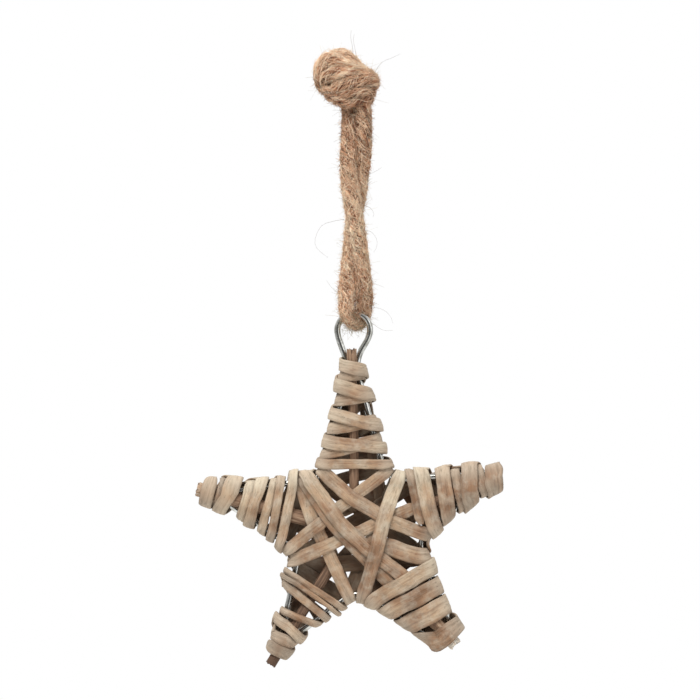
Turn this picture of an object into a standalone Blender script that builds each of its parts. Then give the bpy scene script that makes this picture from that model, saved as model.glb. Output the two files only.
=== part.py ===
"""A wicker star ornament, modelled for Blender 4.5.

A steel wire is bent to the outline of a five-armed star, with an eye at its top.
A peeled stick lies along each arm, split willow strips are wound round the arms and
criss-cross the middle, and a jute cord through the eye is tied in one fat knot.

Shapes are worked out in millimetres in the star's own frame: x to the right, y to
the back and z up, with the origin at the star's centre. The part's frame is in
metres, with its origin in the cord just under the knot, where the ornament hangs.
"""

import math

import bmesh
import bpy
import numpy as np

MM = 0.001
HANG_POINT = np.array([1.0, 0.0, 140.0])

# The core is a flat star inside the bindings. Every strip is laid round it.
# Each arm: name, angle in degrees, where its taper ends, half its width there.
ARMS = (
    ("top", 89.6, 54.0, 0.1),
    ("right", 21.6, 47.5, 0.9),
    ("lower_right", -48.4, 45.0, 2.8),
    ("lower_left", -122.0, 42.6, 0.3),
    ("left", 164.4, 45.5, 0.3),
)
# The notch that follows each arm, clockwise: angle in degrees, distance from the centre.
NOTCHES = ((55.8, 19.4), (-7.0, 20.9), (-85.4, 18.6), (-158.2, 17.8), (120.8, 18.9))
NOTCH_ROUND = 7.0
NOTCH_STEPS = 6
ARM_END = 8.0  # the core runs on this far past the taper, for the last turns
FORM_RADIUS = 2.2  # from the core to the underside of a strip that lies on nothing
FORM_Y = -1.0  # the core's middle plane: the sticks lie in front of the wire

GAP = 0.52
WIRE_RADIUS = 1.05
WIRE_OUT = 1.0  # the wire's centre line, outside the core's edge
WIRE_NOTCH_STEPS = 3
TIP_STEPS = 5
EYE_CENTRE = (0.55, 67.0)
EYE_RADIUS = 5.7
EYE_ANGLES = np.linspace(205, -25, 12)
NECK_HALF = 2.45  # half the distance between the wire's two legs at the neck
NECK_SHIFT = -0.7
NECK_Z = 59.0

# Each stick: arm, radius, outer end and inner end as x, y, z.
STICKS = (
    ("top", 1.7, (-0.15, -2.75, 61.0), (0.8, -1.2, 11.5)),
    ("right", 1.9, (49.8, -3.8, 17.5), (11.4, -1.2, 4.2)),
    ("lower_right", 2.3, (34.6, -3.9, -37.7), (8.7, -1.2, -9.3)),
    ("lower_left", 1.8, (-27.2, -3.4, -44.2), (-6.4, -1.2, -10.6)),
    ("left", 2.45, (-51.6, -4.2, 14.4), (-12.0, -1.2, 3.2)),
)

STRIP_THICK = 0.55
SAMPLE = 0.4
CELL = 0.5
RAMP = 0.33  # how steeply a strip climbs over another
KEEP_WITHIN = 0.39  # how far a strip's flats may stray from its curve
TWIST_WITHIN = 0.5  # how far the fold of a twisted flat may stray

# Each strip: name, width, side of its first run, and its stops as x, z. A stop is
# on the outline, where the strip turns to the other side, unless it says "in", which
# is an end tucked away on a face, or "by", which is a place it passes on a face.
STRIPS = (
    (
        "centre_strip_6", 4.4, "front",
        ((-17.8, 18.2), (-13.0, 3.6, "by"), (-0.8, -23.4), (-20.5, -11.0, "in")),
    ),
    (
        "centre_strip_8", 5.8, "front",
        ((3.5, -3.8, "in"), (12.0, -5.0, "by"), (24.2, -9.0), (-19.5, -12.5, "in")),
    ),
    ("centre_strip_4", 4.5, "back", ((20.0, 15.0, "in"), (-20.8, -10.2), (21.5, 8.6, "in"))),
    (
        "centre_strip_5", 4.2, "back",
        ((-15.5, 16.0, "in"), (-22.2, -6.4), (-3.3, 8.7, "by"), (12.8, 21.0), (-15.0, 14.4, "in")),
    ),
    (
        "centre_strip_7", 3.8, "back",
        ((-2.0, -20.5, "in"), (-17.4, 18.2), (-5.2, 1.2, "by"), (17.0, -21.5, "in")),
    ),
    (
        "centre_strip_2", 4.8, "front",
        ((-12.6, 22.2), (-0.2, 11.2, "by"), (14.0, 3.0, "by"), (28.6, -2.8), (2.5, -22.0, "in")),
    ),
    (
        "centre_strip_1", 4.8, "back",
        ((22.0, -7.0, "in"), (-16.2, 20.4), (-4.2, 3.4, "by"), (5.2, -5.4, "by"), (21.5, -18.0, "in")),
    ),
    (
        "centre_strip_3", 4.8, "back",
        ((-1.0, -21.5, "in"), (16.4, 21.0), (12.2, 9.5, "by"), (11.2, 6.0, "by"), (3.2, -24.0),
         (21.5, 8.0, "in")),
    ),
    (
        "top_strip_under", 4.1, "back",
        ((0.6, 53.5, "in"), (-4.0, 51.2), (5.2, 52.8), (-5.4, 43.2), (6.3, 45.4), (-7.8, 34.0),
         (8.5, 36.8), (-10.7, 25.2), (9.9, 31.0), (0.0, 27.0, "in")),
    ),
    (
        "top_strip_over", 4.1, "back",
        ((1.2, 56.8, "in"), (-3.4, 55.4), (5.1, 53.3), (-4.9, 48.5), (6.0, 44.9), (-6.6, 39.2),
         (8.8, 35.0), (-9.3, 30.0), (10.9, 27.6), (-12.0, 22.3), (14.0, 22.4), (3.0, 24.0, "in")),
    ),
    (
        "right_strip_under", 3.4, "front",
        ((41.8, 21.0), (43.6, 12.8), (34.0, 20.6), (36.6, 7.4), (19.0, 20.0), (23.0, 2.5, "in")),
    ),
    (
        "right_strip_over", 5.3, "front",
        ((47.4, 23.6), (46.8, 12.8), (39.0, 21.8), (38.6, 8.0), (29.8, 21.2), (32.2, 2.4),
         (22.8, 20.9), (27.0, 0.6), (17.0, 15.5, "in")),
    ),
    (
        "left_strip_under", 3.1, "front",
        ((-43.0, 16.8), (-45.0, 8.0), (-33.2, 17.2), (-36.6, 4.2), (-25.6, 17.2), (-30.2, -0.8),
         (-22.0, 4.0, "in")),
    ),
    (
        "left_strip_over", 3.5, "front",
        ((-46.2, 17.2), (-48.6, 9.8), (-37.7, 17.2), (-44.0, 6.8), (-29.2, 17.4), (-32.4, 9.6, "by"),
         (-34.0, 1.8), (-23.2, 17.8), (-27.0, -2.8), (-19.0, 18.6), (-23.8, -5.0), (-19.0, 5.0, "in")),
    ),
    (
        "lower_left_strip_under", 3.0, "front",
        ((-26.2, -34.2), (-18.9, -36.8), (-24.4, -25.8), (-10.4, -31.2), (-21.6, -13.0),
         (-2.8, -25.3), (-12.0, -20.0, "in")),
    ),
    (
        "lower_left_strip_over", 3.0, "front",
        ((-27.0, -38.4), (-20.2, -40.8), (-24.8, -28.0), (-15.4, -37.0), (-22.5, -17.2),
         (-8.0, -28.9), (-15.0, -24.0, "in")),
    ),
    (
        "lower_right_strip", 5.9, "front",
        ((6.8, -22.6), (27.2, -11.2), (10.2, -27.4), (28.8, -17.6), (16.2, -32.0), (32.4, -23.4),
         (22.0, -35.2), (28.4, -36.0, "by"), (34.6, -30.8), (25.5, -31.0, "in")),
    ),
)

CORD_RADIUS = 2.2
CORD_STEP = 4.8
# The cord's own route, in the part's frame and in metres: up one strand, the first
# listed being the knot end of the strand that passes behind the eye.
CORD_ROUTE = (
    (-0.0018, 0.0014, 0.0003), (-0.0021, 0.0007, -0.0050), (-0.0022, -0.0001, -0.0110),
    (-0.0022, -0.0010, -0.0170), (-0.0019, -0.0018, -0.0230), (-0.0012, -0.0023, -0.0290),
    (-0.0002, -0.0025, -0.0350), (0.0009, -0.0023, -0.0410), (0.0018, -0.0018, -0.0470),
    (0.0024, -0.0009, -0.0530), (0.0029, 0.0003, -0.0585), (0.0031, 0.0020, -0.0630),
    (0.0029, 0.0034, -0.0668), (0.0019, 0.0031, -0.0699), (-0.0001, 0.0000, -0.0711),
    (-0.0021, -0.0031, -0.0699), (-0.0031, -0.0034, -0.0668), (-0.0029, -0.0022, -0.0630),
    (-0.0025, -0.0004, -0.0585), (-0.0021, 0.0009, -0.0530), (-0.0017, 0.0018, -0.0470),
    (-0.0011, 0.0024, -0.0410), (-0.0002, 0.0026, -0.0350), (0.0008, 0.0024, -0.0290),
    (0.0017, 0.0018, -0.0230), (0.0024, 0.0010, -0.0170), (0.0028, 0.0001, -0.0110),
    (0.0029, -0.0007, -0.0050), (0.0027, -0.0014, 0.0003),
)
# The knot's lobes: centre and half sizes in the star's frame, and tilt in the picture plane.
KNOT_LOBES = (
    ((-1.0, 0.0, 149.0), (10.4, 7.2, 7.6), 8.0),
    ((-5.8, 0.5, 154.6), (7.4, 6.4, 6.6), -25.0),
)
KNOT_UNDERSIDE = 140.6
KNOT_SEGMENTS = 9
KNOT_RINGS = 6

WILLOW = ("split_willow", (0.50, 0.38, 0.26, 1.0), 0.75, 0.0)
PEELED = ("peeled_stick", (0.30, 0.19, 0.12, 1.0), 0.8, 0.0)
STEEL = ("galvanised_wire", (0.50, 0.50, 0.47, 1.0), 0.35, 1.0)
JUTE = ("twisted_jute", (0.46, 0.29, 0.15, 1.0), 0.95, 0.0)


def clear_scene():
    for old in list(bpy.data.objects):
        bpy.data.objects.remove(old, do_unlink=True)


def direction(angle):
    """The unit vector in the star's plane at an angle from +x, in degrees."""
    return np.array([math.cos(math.radians(angle)), math.sin(math.radians(angle))])


def rounded_corner(before, corner, after, radius, steps=NOTCH_STEPS):
    """Points of an arc that replaces a corner and touches both of its edges."""
    to_before = (before - corner) / np.linalg.norm(before - corner)
    to_after = (after - corner) / np.linalg.norm(after - corner)
    half = math.acos(float(np.clip(to_before @ to_after, -1, 1))) / 2
    middle = (to_before + to_after) / np.linalg.norm(to_before + to_after)
    across = to_before - (to_before @ middle) * middle
    across /= np.linalg.norm(across)
    centre = corner + middle * radius / math.sin(half)
    turn = math.pi / 2 - half
    angles = np.linspace(turn, -turn, steps)
    return [centre + radius * (math.sin(a) * across - math.cos(a) * middle) for a in angles]


def core_outline():
    """The core's corners, clockwise from the top arm, with its notches rounded."""
    tips = []
    for _, angle, reach, half in ARMS:
        out = direction(angle)
        side = direction(angle - 90)
        near, far = out * reach, out * (reach + ARM_END)
        tips.append([near - side * half, far - side * half, far + side * half, near + side * half])
    points = []
    for i, tip in enumerate(tips):
        angle, distance = NOTCHES[i]
        corner = direction(angle) * distance
        points += tip
        points += rounded_corner(tip[-1], corner, tips[(i + 1) % len(tips)][0], NOTCH_ROUND)
    return np.array(points)


def tip_turn(angle, reach, half):
    """The half circle in which the wire turns round an arm's tip."""
    out = direction(angle)
    side = direction(angle - 90)
    turns = np.radians(np.linspace(-90, 90, TIP_STEPS))
    return [out * reach + (half + WIRE_OUT) * (math.cos(a) * out + math.sin(a) * side) for a in turns]


CORE = core_outline()


def nearest_on_core(flat):
    """For each point x, z the nearest point of the core, which is itself if it lies inside."""
    start = CORE
    run = np.roll(CORE, -1, axis=0) - CORE
    from_start = flat[:, None] - start
    share = np.clip((from_start * run).sum(2) / (run * run).sum(1), 0, 1)
    feet = start + share[..., None] * run
    best = ((flat[:, None] - feet) ** 2).sum(2).argmin(1)
    nearest = feet[np.arange(len(flat)), best]
    end = start + run
    z = flat[:, 1, None]
    straddles = (start[:, 1] > z) != (end[:, 1] > z)
    rise = np.where(straddles, end[:, 1] - start[:, 1], 1.0)
    crossing = start[:, 0] + (z - start[:, 1]) / rise * run[:, 0]
    inside = (straddles & (flat[:, 0, None] < crossing)).sum(1) % 2 == 1
    return np.where(inside[:, None], flat, nearest)


def on_form(points):
    """Points brought to the form, the surface FORM_RADIUS from the core, and the form's normals."""
    foot = nearest_on_core(points[:, (0, 2)])
    core = np.column_stack([foot[:, 0], np.full(len(foot), FORM_Y), foot[:, 1]])
    away = points - core
    distance = np.maximum(np.linalg.norm(away, axis=1, keepdims=True), 1e-6)
    normals = away / distance
    return core + normals * FORM_RADIUS, normals, distance[:, 0] - FORM_RADIUS


class Layers:
    """How high each place on the form is already covered, kept in small cubic cells."""

    def __init__(self):
        reach = FORM_RADIUS + 2 * CELL
        self.low = np.array([CORE[:, 0].min() - reach, FORM_Y - reach, CORE[:, 1].min() - reach])
        high = np.array([CORE[:, 0].max() + reach, FORM_Y + reach, CORE[:, 1].max() + reach])
        self.cover = np.zeros(np.ceil((high - self.low) / CELL).astype(int) + 1)

    def cells(self, points):
        return tuple(((points - self.low) / CELL).astype(int).T)

    def add(self, points, heights):
        np.maximum.at(self.cover, self.cells(points), heights)

    def under(self, points):
        """The height that is free above each point, looking one cell round it."""
        x, y, z = self.cells(points)
        found = np.zeros(len(points))
        for dx in (-1, 0, 1):
            for dy in (-1, 0, 1):
                for dz in (-1, 0, 1):
                    found = np.maximum(found, self.cover[x + dx, y + dy, z + dz])
        return found

    def add_tube(self, path, radius):
        """Covers the form where a round piece stands proud of it."""
        ahead = np.gradient(path, axis=0)
        ahead /= np.linalg.norm(ahead, axis=1, keepdims=True)
        side = np.cross(ahead, (0.0, 1.0, 0.0))
        side /= np.linalg.norm(side, axis=1, keepdims=True)
        up = np.cross(side, ahead)
        for angle in np.linspace(0, 2 * math.pi, 32, endpoint=False):
            ring = path + radius * (math.cos(angle) * side + math.sin(angle) * up)
            places, _, heights = on_form(ring)
            proud = heights > -GAP
            self.add(places[proud], heights[proud] + GAP)


def evenly(points, step):
    """The polyline's points read again at even steps."""
    length = np.concatenate([[0], np.cumsum(np.linalg.norm(np.diff(points, axis=0), axis=1))])
    count = max(2, int(round(length[-1] / step)) + 1)
    at = np.linspace(0, length[-1], count)
    return np.column_stack([np.interp(at, length, points[:, k]) for k in range(points.shape[1])])


def taut_line(first_side, stops):
    """A strip's centre line, pulled taut over the form between its stops."""
    flat = np.array([stop[:2] for stop in stops], float)
    edge = [len(stop) == 2 for stop in stops]
    places = np.column_stack([flat[:, 0], np.full(len(flat), FORM_Y), flat[:, 1]])
    sign = -1.0 if first_side == "front" else 1.0
    pieces = []
    held = []
    for i in range(len(stops) - 1):
        count = 10 + int(np.linalg.norm(flat[i + 1] - flat[i]) / SAMPLE)
        turn = np.linspace(0 if edge[i] else 0.5, 1 if edge[i + 1] else 0.5, count)
        share = np.linspace(0, 1, count)
        if edge[i] or edge[i + 1]:
            share = (1 - np.cos(np.pi * turn)) / 2
            share = (share - share[0]) / (share[-1] - share[0])
        run = places[i] + share[:, None] * (places[i + 1] - places[i])
        run[:, 1] += sign * FORM_RADIUS * np.maximum(np.sin(np.pi * turn), 1e-3)
        pieces.append(run if i == 0 else run[1:])
        held.append(sum(map(len, pieces)) - 1)
        if edge[i + 1]:
            sign = -sign
    line = on_form(np.concatenate(pieces))[0]
    free = np.ones(len(line), bool)
    free[[0, *held]] = False
    for sweep in range(160):
        if sweep == 150:
            free[1:-1] = True
        middle = (line[:-2] + line[2:]) / 2
        moved = line.copy()
        moved[1:-1] = np.where(free[1:-1, None], (line[1:-1] + middle) / 2, line[1:-1])
        line = on_form(moved)[0]
    return on_form(evenly(line, SAMPLE))[0]


def needed_sections(corners):
    """The samples that keep the others within KEEP_WITHIN and a fold within TWIST_WITHIN."""
    keep = {0, len(corners) - 1}
    spans = [(0, len(corners) - 1)]
    while spans:
        a, b = spans.pop()
        if b - a < 2:
            continue
        share = np.linspace(0, 1, b - a + 1)[1:-1, None]
        straight = corners[a] + share * (corners[b] - corners[a])
        off = np.linalg.norm((corners[a + 1 : b] - straight).reshape(-1, 2, 3), axis=2).max(1)
        worst = int(off.argmax())
        across = corners[[a, b], :3] - corners[[a, b], 3:6]
        twist = np.linalg.norm(across[1] - across[0]) / 4
        if off[worst] > KEEP_WITHIN:
            keep.add(a + 1 + worst)
            spans += [(a, a + 1 + worst), (a + 1 + worst, b)]
        elif twist > TWIST_WITHIN:
            keep.add((a + b) // 2)
            spans += [(a, (a + b) // 2), ((a + b) // 2, b)]
    return sorted(keep)


def strip_sections(layers, width, first_side, stops):
    """A strip's sections, each its inner and outer corners, laid over what is there."""
    line = taut_line(first_side, stops)
    _, normals, _ = on_form(line)
    ahead = np.gradient(line, axis=0)
    across = np.cross(normals, ahead)
    across /= np.linalg.norm(across, axis=1, keepdims=True)
    shares = np.linspace(-0.5, 0.5, int(width / SAMPLE) + 2)
    columns = [on_form(line + share * width * across) for share in shares]
    free = np.max([layers.under(places) for places, _, _ in columns], axis=0)
    along = np.arange(len(line)) * SAMPLE
    height = (free[None] - RAMP * np.abs(along[:, None] - along[None])).max(1)
    left, right = columns[0], columns[-1]
    chord_left = left[0] + left[1] * height[:, None]
    chord_right = right[0] + right[1] * height[:, None]
    sag = np.zeros(len(line))
    for share, (places, normal, _) in zip(shares, columns):
        chord = chord_left + (share + 0.5) * (chord_right - chord_left)
        over = ((places + normal * height[:, None] - chord) * normal).sum(1)
        sag = np.maximum(sag, over)
    height += sag
    for places, _, _ in columns:
        layers.add(places, height + STRIP_THICK + GAP)
    inner = [side[0] + side[1] * height[:, None] for side in (left, right)]
    outer = [side[0] + side[1] * (height + STRIP_THICK)[:, None] for side in (left, right)]
    kept = needed_sections(np.column_stack(inner))
    return np.stack([inner[0], inner[1], outer[1], outer[0]], axis=1)[kept]


def to_part(points):
    return (np.asarray(points) - HANG_POINT) * MM


def material_of(finish):
    name, colour, roughness, metallic = finish
    material = bpy.data.materials.new(name)
    material.use_nodes = True
    shader = material.node_tree.nodes["Principled BSDF"]
    shader.inputs["Base Color"].default_value = colour
    shader.inputs["Roughness"].default_value = roughness
    shader.inputs["Metallic"].default_value = metallic
    return material


def dressed(obj, finish, collection):
    collection.objects.link(obj)
    obj.data.materials.append(material_of(finish))
    return obj


def loft(name, sections, collection):
    """A closed strip through sections of four corners."""
    count = len(sections)
    faces = [(3, 2, 1, 0), tuple(4 * (count - 1) + k for k in range(4))]
    for i in range(count - 1):
        for k in range(4):
            a, b = 4 * i + k, 4 * i + (k + 1) % 4
            faces.append((a, b, b + 4, a + 4))
    mesh = bpy.data.meshes.new(name)
    mesh.from_pydata(to_part(sections.reshape(-1, 3)).tolist(), [], faces)
    shape = bmesh.new()
    shape.from_mesh(mesh)
    bmesh.ops.recalc_face_normals(shape, faces=shape.faces)
    shape.to_mesh(mesh)
    shape.free()
    mesh.set_sharp_from_angle(angle=math.radians(40))
    return dressed(bpy.data.objects.new(name, mesh), WILLOW, collection)


def tube(name, points, radius, finish, collection, closed=False, sides=2):
    """A round bar along points given in metres, with filled ends unless it is closed."""
    curve = bpy.data.curves.new(name, "CURVE")
    curve.dimensions = "3D"
    curve.bevel_depth = radius * MM
    curve.bevel_resolution = sides
    curve.use_fill_caps = not closed
    spline = curve.splines.new("POLY")
    spline.points.add(len(points) - 1)
    for point, place in zip(spline.points, points):
        point.co = (*place, 1.0)
    spline.use_cyclic_u = closed
    spline.use_smooth = True
    return dressed(bpy.data.objects.new(name, curve), finish, collection)


def wire_line():
    """The wire's closed centre line: round the star and up into the eye."""
    feet = []
    for _, angle, reach, half in ARMS:
        tip = direction(angle) * reach
        side = direction(angle - 90) * (half + WIRE_OUT)
        feet.append((tip - side, tip + side))
    flat = []
    for i, (angle, distance) in enumerate(NOTCHES):
        following = (i + 1) % len(ARMS)
        corner = direction(angle) * (distance + WIRE_OUT)
        bend = NOTCH_ROUND - WIRE_OUT
        flat += rounded_corner(feet[i][1], corner, feet[following][0], bend, WIRE_NOTCH_STEPS)
        if following:
            flat += tip_turn(*ARMS[following][1:])
    neck = np.array([EYE_CENTRE[0] + NECK_SHIFT, NECK_Z])
    eye = [np.array(EYE_CENTRE) + EYE_RADIUS * direction(a) for a in EYE_ANGLES]
    flat += [feet[0][0], neck - (NECK_HALF, 0.0), *eye, neck + (NECK_HALF, 0.0), feet[0][1]]
    flat = np.array(flat)
    return np.column_stack([flat[:, 0], np.zeros(len(flat)), flat[:, 1]])


def smooth_line(route, step):
    """A Catmull-Rom curve through the route's points, read at even steps."""
    route = np.asarray(route, float)
    ends = np.vstack([2 * route[0] - route[1], route, 2 * route[-1] - route[-2]])
    share = np.linspace(0, 1, 12, endpoint=False)[:, None]
    pieces = []
    for a, b, c, d in zip(ends, ends[1:], ends[2:], ends[3:]):
        pieces.append(
            0.5 * (2 * b + (c - a) * share + (2 * a - 5 * b + 4 * c - d) * share**2
                   + (3 * b - a - 3 * c + d) * share**3)
        )
    return evenly(np.vstack([*pieces, route[-1:]]), step)


def knot(collection, cutters):
    """Two tilted lobes in one body, flat where the cord's strands enter."""
    lobes = []
    for place, size, tilt in KNOT_LOBES:
        bpy.ops.mesh.primitive_uv_sphere_add(segments=KNOT_SEGMENTS, ring_count=KNOT_RINGS, radius=1.0)
        lobe = bpy.context.object
        lobe.location = to_part(place)
        lobe.scale = np.array(size) * MM
        lobe.rotation_euler = (0.0, math.radians(tilt), 0.0)
        lobe.data.shade_smooth()
        for holder in list(lobe.users_collection):
            holder.objects.unlink(lobe)
        lobes.append(lobe)
    main, extra = lobes
    main.name = main.data.name = "cord_knot"
    bpy.ops.mesh.primitive_cube_add(size=1.0)
    base = bpy.context.object
    base.name = "knot_underside_cutter"
    base.dimensions = (0.04, 0.04, 0.02)
    base.location = to_part((0.0, 0.0, KNOT_UNDERSIDE)) - np.array([0.0, 0.0, 0.01])
    for holder in list(base.users_collection):
        holder.objects.unlink(base)
    extra.name = "knot_upper_lobe"
    for cutter in (extra, base):
        cutters.objects.link(cutter)
        cutter.hide_render = True
        cutter.display_type = "WIRE"
    join = main.modifiers.new("upper_lobe", "BOOLEAN")
    join.operation = "UNION"
    join.object = extra
    cut = main.modifiers.new("flat_underside", "BOOLEAN")
    cut.operation = "DIFFERENCE"
    cut.object = base
    dressed(main, JUTE, collection)


def build():
    clear_scene()
    parts = bpy.data.collections.new("wicker_star_ornament")
    cutters = bpy.data.collections.new("cutters")
    for collection in (parts, cutters):
        bpy.context.scene.collection.children.link(collection)
    layers = Layers()

    wire = wire_line()
    tube("wire_frame", to_part(wire), WIRE_RADIUS, STEEL, parts, closed=True)
    layers.add_tube(evenly(np.vstack([wire, wire[:1]]), SAMPLE), WIRE_RADIUS)
    for arm, radius, outer, inner in STICKS:
        line = np.linspace(outer, inner, 120)
        tube(f"stick_{arm}", to_part([outer, inner]), radius, PEELED, parts, sides=4)
        layers.add_tube(line, radius)
    for name, width, first_side, stops in STRIPS:
        loft(name, strip_sections(layers, width, first_side, stops), parts)

    cord = smooth_line(CORD_ROUTE, CORD_STEP * MM)
    tube("hanging_cord", cord, CORD_RADIUS, JUTE, parts, sides=1)
    knot(parts, cutters)


build()
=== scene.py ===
"""The looks of the wicker star ornament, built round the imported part.

Shapes are worked out in millimetres in the star's own frame: x to the right, y to
the back and z up, with the origin at the star's centre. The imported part's frame is in
metres, with its origin in the cord just under the knot, where the ornament hangs.

The bindings are laid one after another over one form, a skin a set distance from a
flat star. A height map on that form says how high it is covered so far, so a strip
that is laid later climbs over the ones beneath it, as it does in the hand.
"""

import itertools
import logging
import math
from dataclasses import dataclass, field
from enum import Enum
from typing import Any, Sequence

import bpy
import numpy as np
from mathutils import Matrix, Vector


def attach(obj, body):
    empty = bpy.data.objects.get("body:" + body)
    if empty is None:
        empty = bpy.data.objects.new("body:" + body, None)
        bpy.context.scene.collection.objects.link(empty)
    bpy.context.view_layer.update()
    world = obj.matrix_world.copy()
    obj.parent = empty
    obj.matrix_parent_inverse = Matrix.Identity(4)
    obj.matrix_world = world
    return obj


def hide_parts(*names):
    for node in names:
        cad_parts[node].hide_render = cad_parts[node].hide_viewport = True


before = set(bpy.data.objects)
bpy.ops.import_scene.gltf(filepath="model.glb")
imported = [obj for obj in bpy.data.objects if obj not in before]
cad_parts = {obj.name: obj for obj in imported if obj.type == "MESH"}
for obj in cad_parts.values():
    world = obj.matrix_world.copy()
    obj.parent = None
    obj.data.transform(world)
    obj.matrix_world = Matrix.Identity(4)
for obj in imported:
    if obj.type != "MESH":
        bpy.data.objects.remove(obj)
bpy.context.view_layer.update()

LOG = logging.getLogger("wicker_star")
Array = np.ndarray

MM = 0.001
TURN = 2 * math.pi
SPAN_STEPS = 16  # points on each span of a curve, before it is read at even steps
HANG_POINT = np.array([1.0, 0.0, 140.0])  # the part's origin, in the star's frame


class Side(Enum):
    """The face of the star that a strip's first run lies on."""

    FRONT = -1.0
    BACK = 1.0


class Stop(Enum):
    """How a strip passes a stop at which it doesn't turn round the star's outline."""

    TUCKED = "ends there, out of sight"
    GUIDE = "runs on over it on the same side"


class Slot(Enum):
    """The record's material slots."""

    WILLOW = "split_willow"
    STICK = "peeled_stick"
    WIRE = "galvanised_wire"
    JUTE = "twisted_jute"


TUCKED = Stop.TUCKED
GUIDE = Stop.GUIDE


# ---------------------------------------------------------------- small helpers


def to_part(points: Any) -> Array:
    """Points from the star's frame in millimetres to the part's in metres."""
    return (np.asarray(points, float) - HANG_POINT) * MM


def to_star(points: Any) -> Array:
    """Points from the part's frame in metres to the star's in millimetres."""
    return np.asarray(points, float) / MM + HANG_POINT


def direction(angle: float) -> Array:
    """The unit vector x, z in the star's plane at an angle from +x, in degrees."""
    return np.array([math.cos(math.radians(angle)), math.sin(math.radians(angle))])


def unit(vectors: Array) -> Array:
    """Vectors along the last axis brought to length one."""
    return vectors / np.maximum(np.linalg.norm(vectors, axis=-1, keepdims=True), 1e-9)


def smoothstep(low: float, high: float, value: Array) -> Array:
    """Nought below low, one above high, and an even S between them."""
    share = np.clip((value - low) / (high - low), 0, 1)
    return share * share * (3 - 2 * share)


def arc_length(points: Array) -> Array:
    """The distance along a polyline at each of its points."""
    return np.concatenate([[0.0], np.cumsum(np.linalg.norm(np.diff(points, axis=0), axis=1))])


def read_at(places: Array, known: Array, values: Array) -> Array:
    """Rows of values, known at some distances, read between them at other places."""
    return np.column_stack([np.interp(places, known, values[:, k]) for k in range(values.shape[1])])


def evenly(points: Array, step: float) -> Array:
    """The polyline's points read again at even steps.

    Args:
        points: the polyline.
        step: about how far apart they come back.

    Returns:
        The points.
    """
    length = arc_length(points)
    count = max(2, int(round(length[-1] / step)) + 1)
    return read_at(np.linspace(0, length[-1], count), length, points)


def equal_turns(count: int) -> Array:
    """The angles of that many corners spread evenly round a ring."""
    return np.linspace(0, TURN, count, endpoint=False)


def rings_round(path: Array, radius: Any, angles: Array, side: Array, up: Array) -> Array:
    """Rings of corners round a path.

    Corner k stands at the path point plus the radius times the cosine and the sine of
    angle k along two vectors square to the path.

    Args:
        path: points along the path, with xyz last.
        radius: one number, or one for each point and corner.
        angles: the corners' angles.
        side: the first of the two vectors at each point.
        up: the second one.

    Returns:
        The corners: point by corner by xyz.
    """
    around = np.cos(angles)[:, None] * side[..., None, :] + np.sin(angles)[:, None] * up[..., None, :]
    return path[..., None, :] + np.asarray(radius)[..., None] * around


def curve_through(route: Any, step: float, closed: bool = False) -> Array:
    """A Catmull-Rom curve: cubics that pass each route point along its neighbours' chord.

    Args:
        route: the points to pass through.
        step: the distance between the points that come back.
        closed: whether the last point joins the first.

    Returns:
        Points at even steps along the curve.
    """
    route = np.asarray(route, float)
    if closed:
        ends = np.vstack([route[-1:], route, route[:2]])
    else:
        ends = np.vstack([2 * route[0] - route[1], route, 2 * route[-1] - route[-2]])
    share = np.linspace(0, 1, SPAN_STEPS, endpoint=False)[:, None, None]
    a, b, c, d = ends[:-3], ends[1:-2], ends[2:-1], ends[3:]
    cubic = 0.5 * (
        2 * b
        + (c - a) * share
        + (2 * a - 5 * b + 4 * c - d) * share**2
        + (3 * b - a - 3 * c + d) * share**3
    )
    line = cubic.transpose(1, 0, 2).reshape(-1, route.shape[1])
    last = route[:1] if closed else route[-1:]
    return evenly(np.vstack([line, last]), step)


def wander(rng: np.random.Generator, at: Array, every: float) -> Array:
    """A smooth random line of about unit size: values drawn at even knots, eased between.

    Args:
        rng: the seeded generator.
        at: where to read the line, any shape.
        every: the distance between knots.

    Returns:
        The line's values, in the shape of at.
    """
    place = (at - np.min(at)) / every
    knots = rng.normal(0, 1, int(np.max(place)) + 3)
    whole = np.floor(place).astype(int)
    ease = smoothstep(0, 1, place - whole)
    return knots[whole] * (1 - ease) + knots[whole + 1] * ease


def blur(values: Array, reach: float) -> Array:
    """Values along the last axis, averaged under a bell.

    Args:
        values: the values.
        reach: the bell's standard deviation, in samples.

    Returns:
        The averages, in the shape of values.
    """
    half = max(1, int(3 * reach))
    bell = np.exp(-0.5 * (np.arange(-half, half + 1) / reach) ** 2)
    bell /= bell.sum()
    padded = np.pad(values, [(0, 0)] * (values.ndim - 1) + [(half, half)], mode="edge")
    windows = np.lib.stride_tricks.sliding_window_view(padded, len(bell), axis=-1)
    return windows @ bell


def carried_frames(path: Array) -> tuple[Array, Array, Array]:
    """Unit vectors ahead, sideways and up along a path, carried on with no twist.

    Args:
        path: points along the path.

    Returns:
        The three vectors at each point.
    """
    ahead = unit(np.gradient(path, axis=0))
    side = np.empty_like(ahead)
    start = np.cross(ahead[0], (0.0, 1.0, 0.0))
    if np.linalg.norm(start) < 0.1:
        start = np.cross(ahead[0], (1.0, 0.0, 0.0))
    side[0] = unit(start)
    for i in range(1, len(path)):
        kept = side[i - 1] - ahead[i] * (side[i - 1] @ ahead[i])
        side[i] = kept / np.linalg.norm(kept)
    return ahead, side, np.cross(side, ahead)


# ---------------------------------------------------------------- meshes


@dataclass
class Surface:
    """Corners, faces and what is painted on them, before they become a mesh.

    A face lists its corners anticlockwise as seen from outside. uv holds one pair for
    each corner of each face, and paint one number for each corner of the mesh.
    """

    corners: Array
    faces: list[list[int]]
    uv: Array
    paint: dict[str, Array] = field(default_factory=dict)


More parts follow.
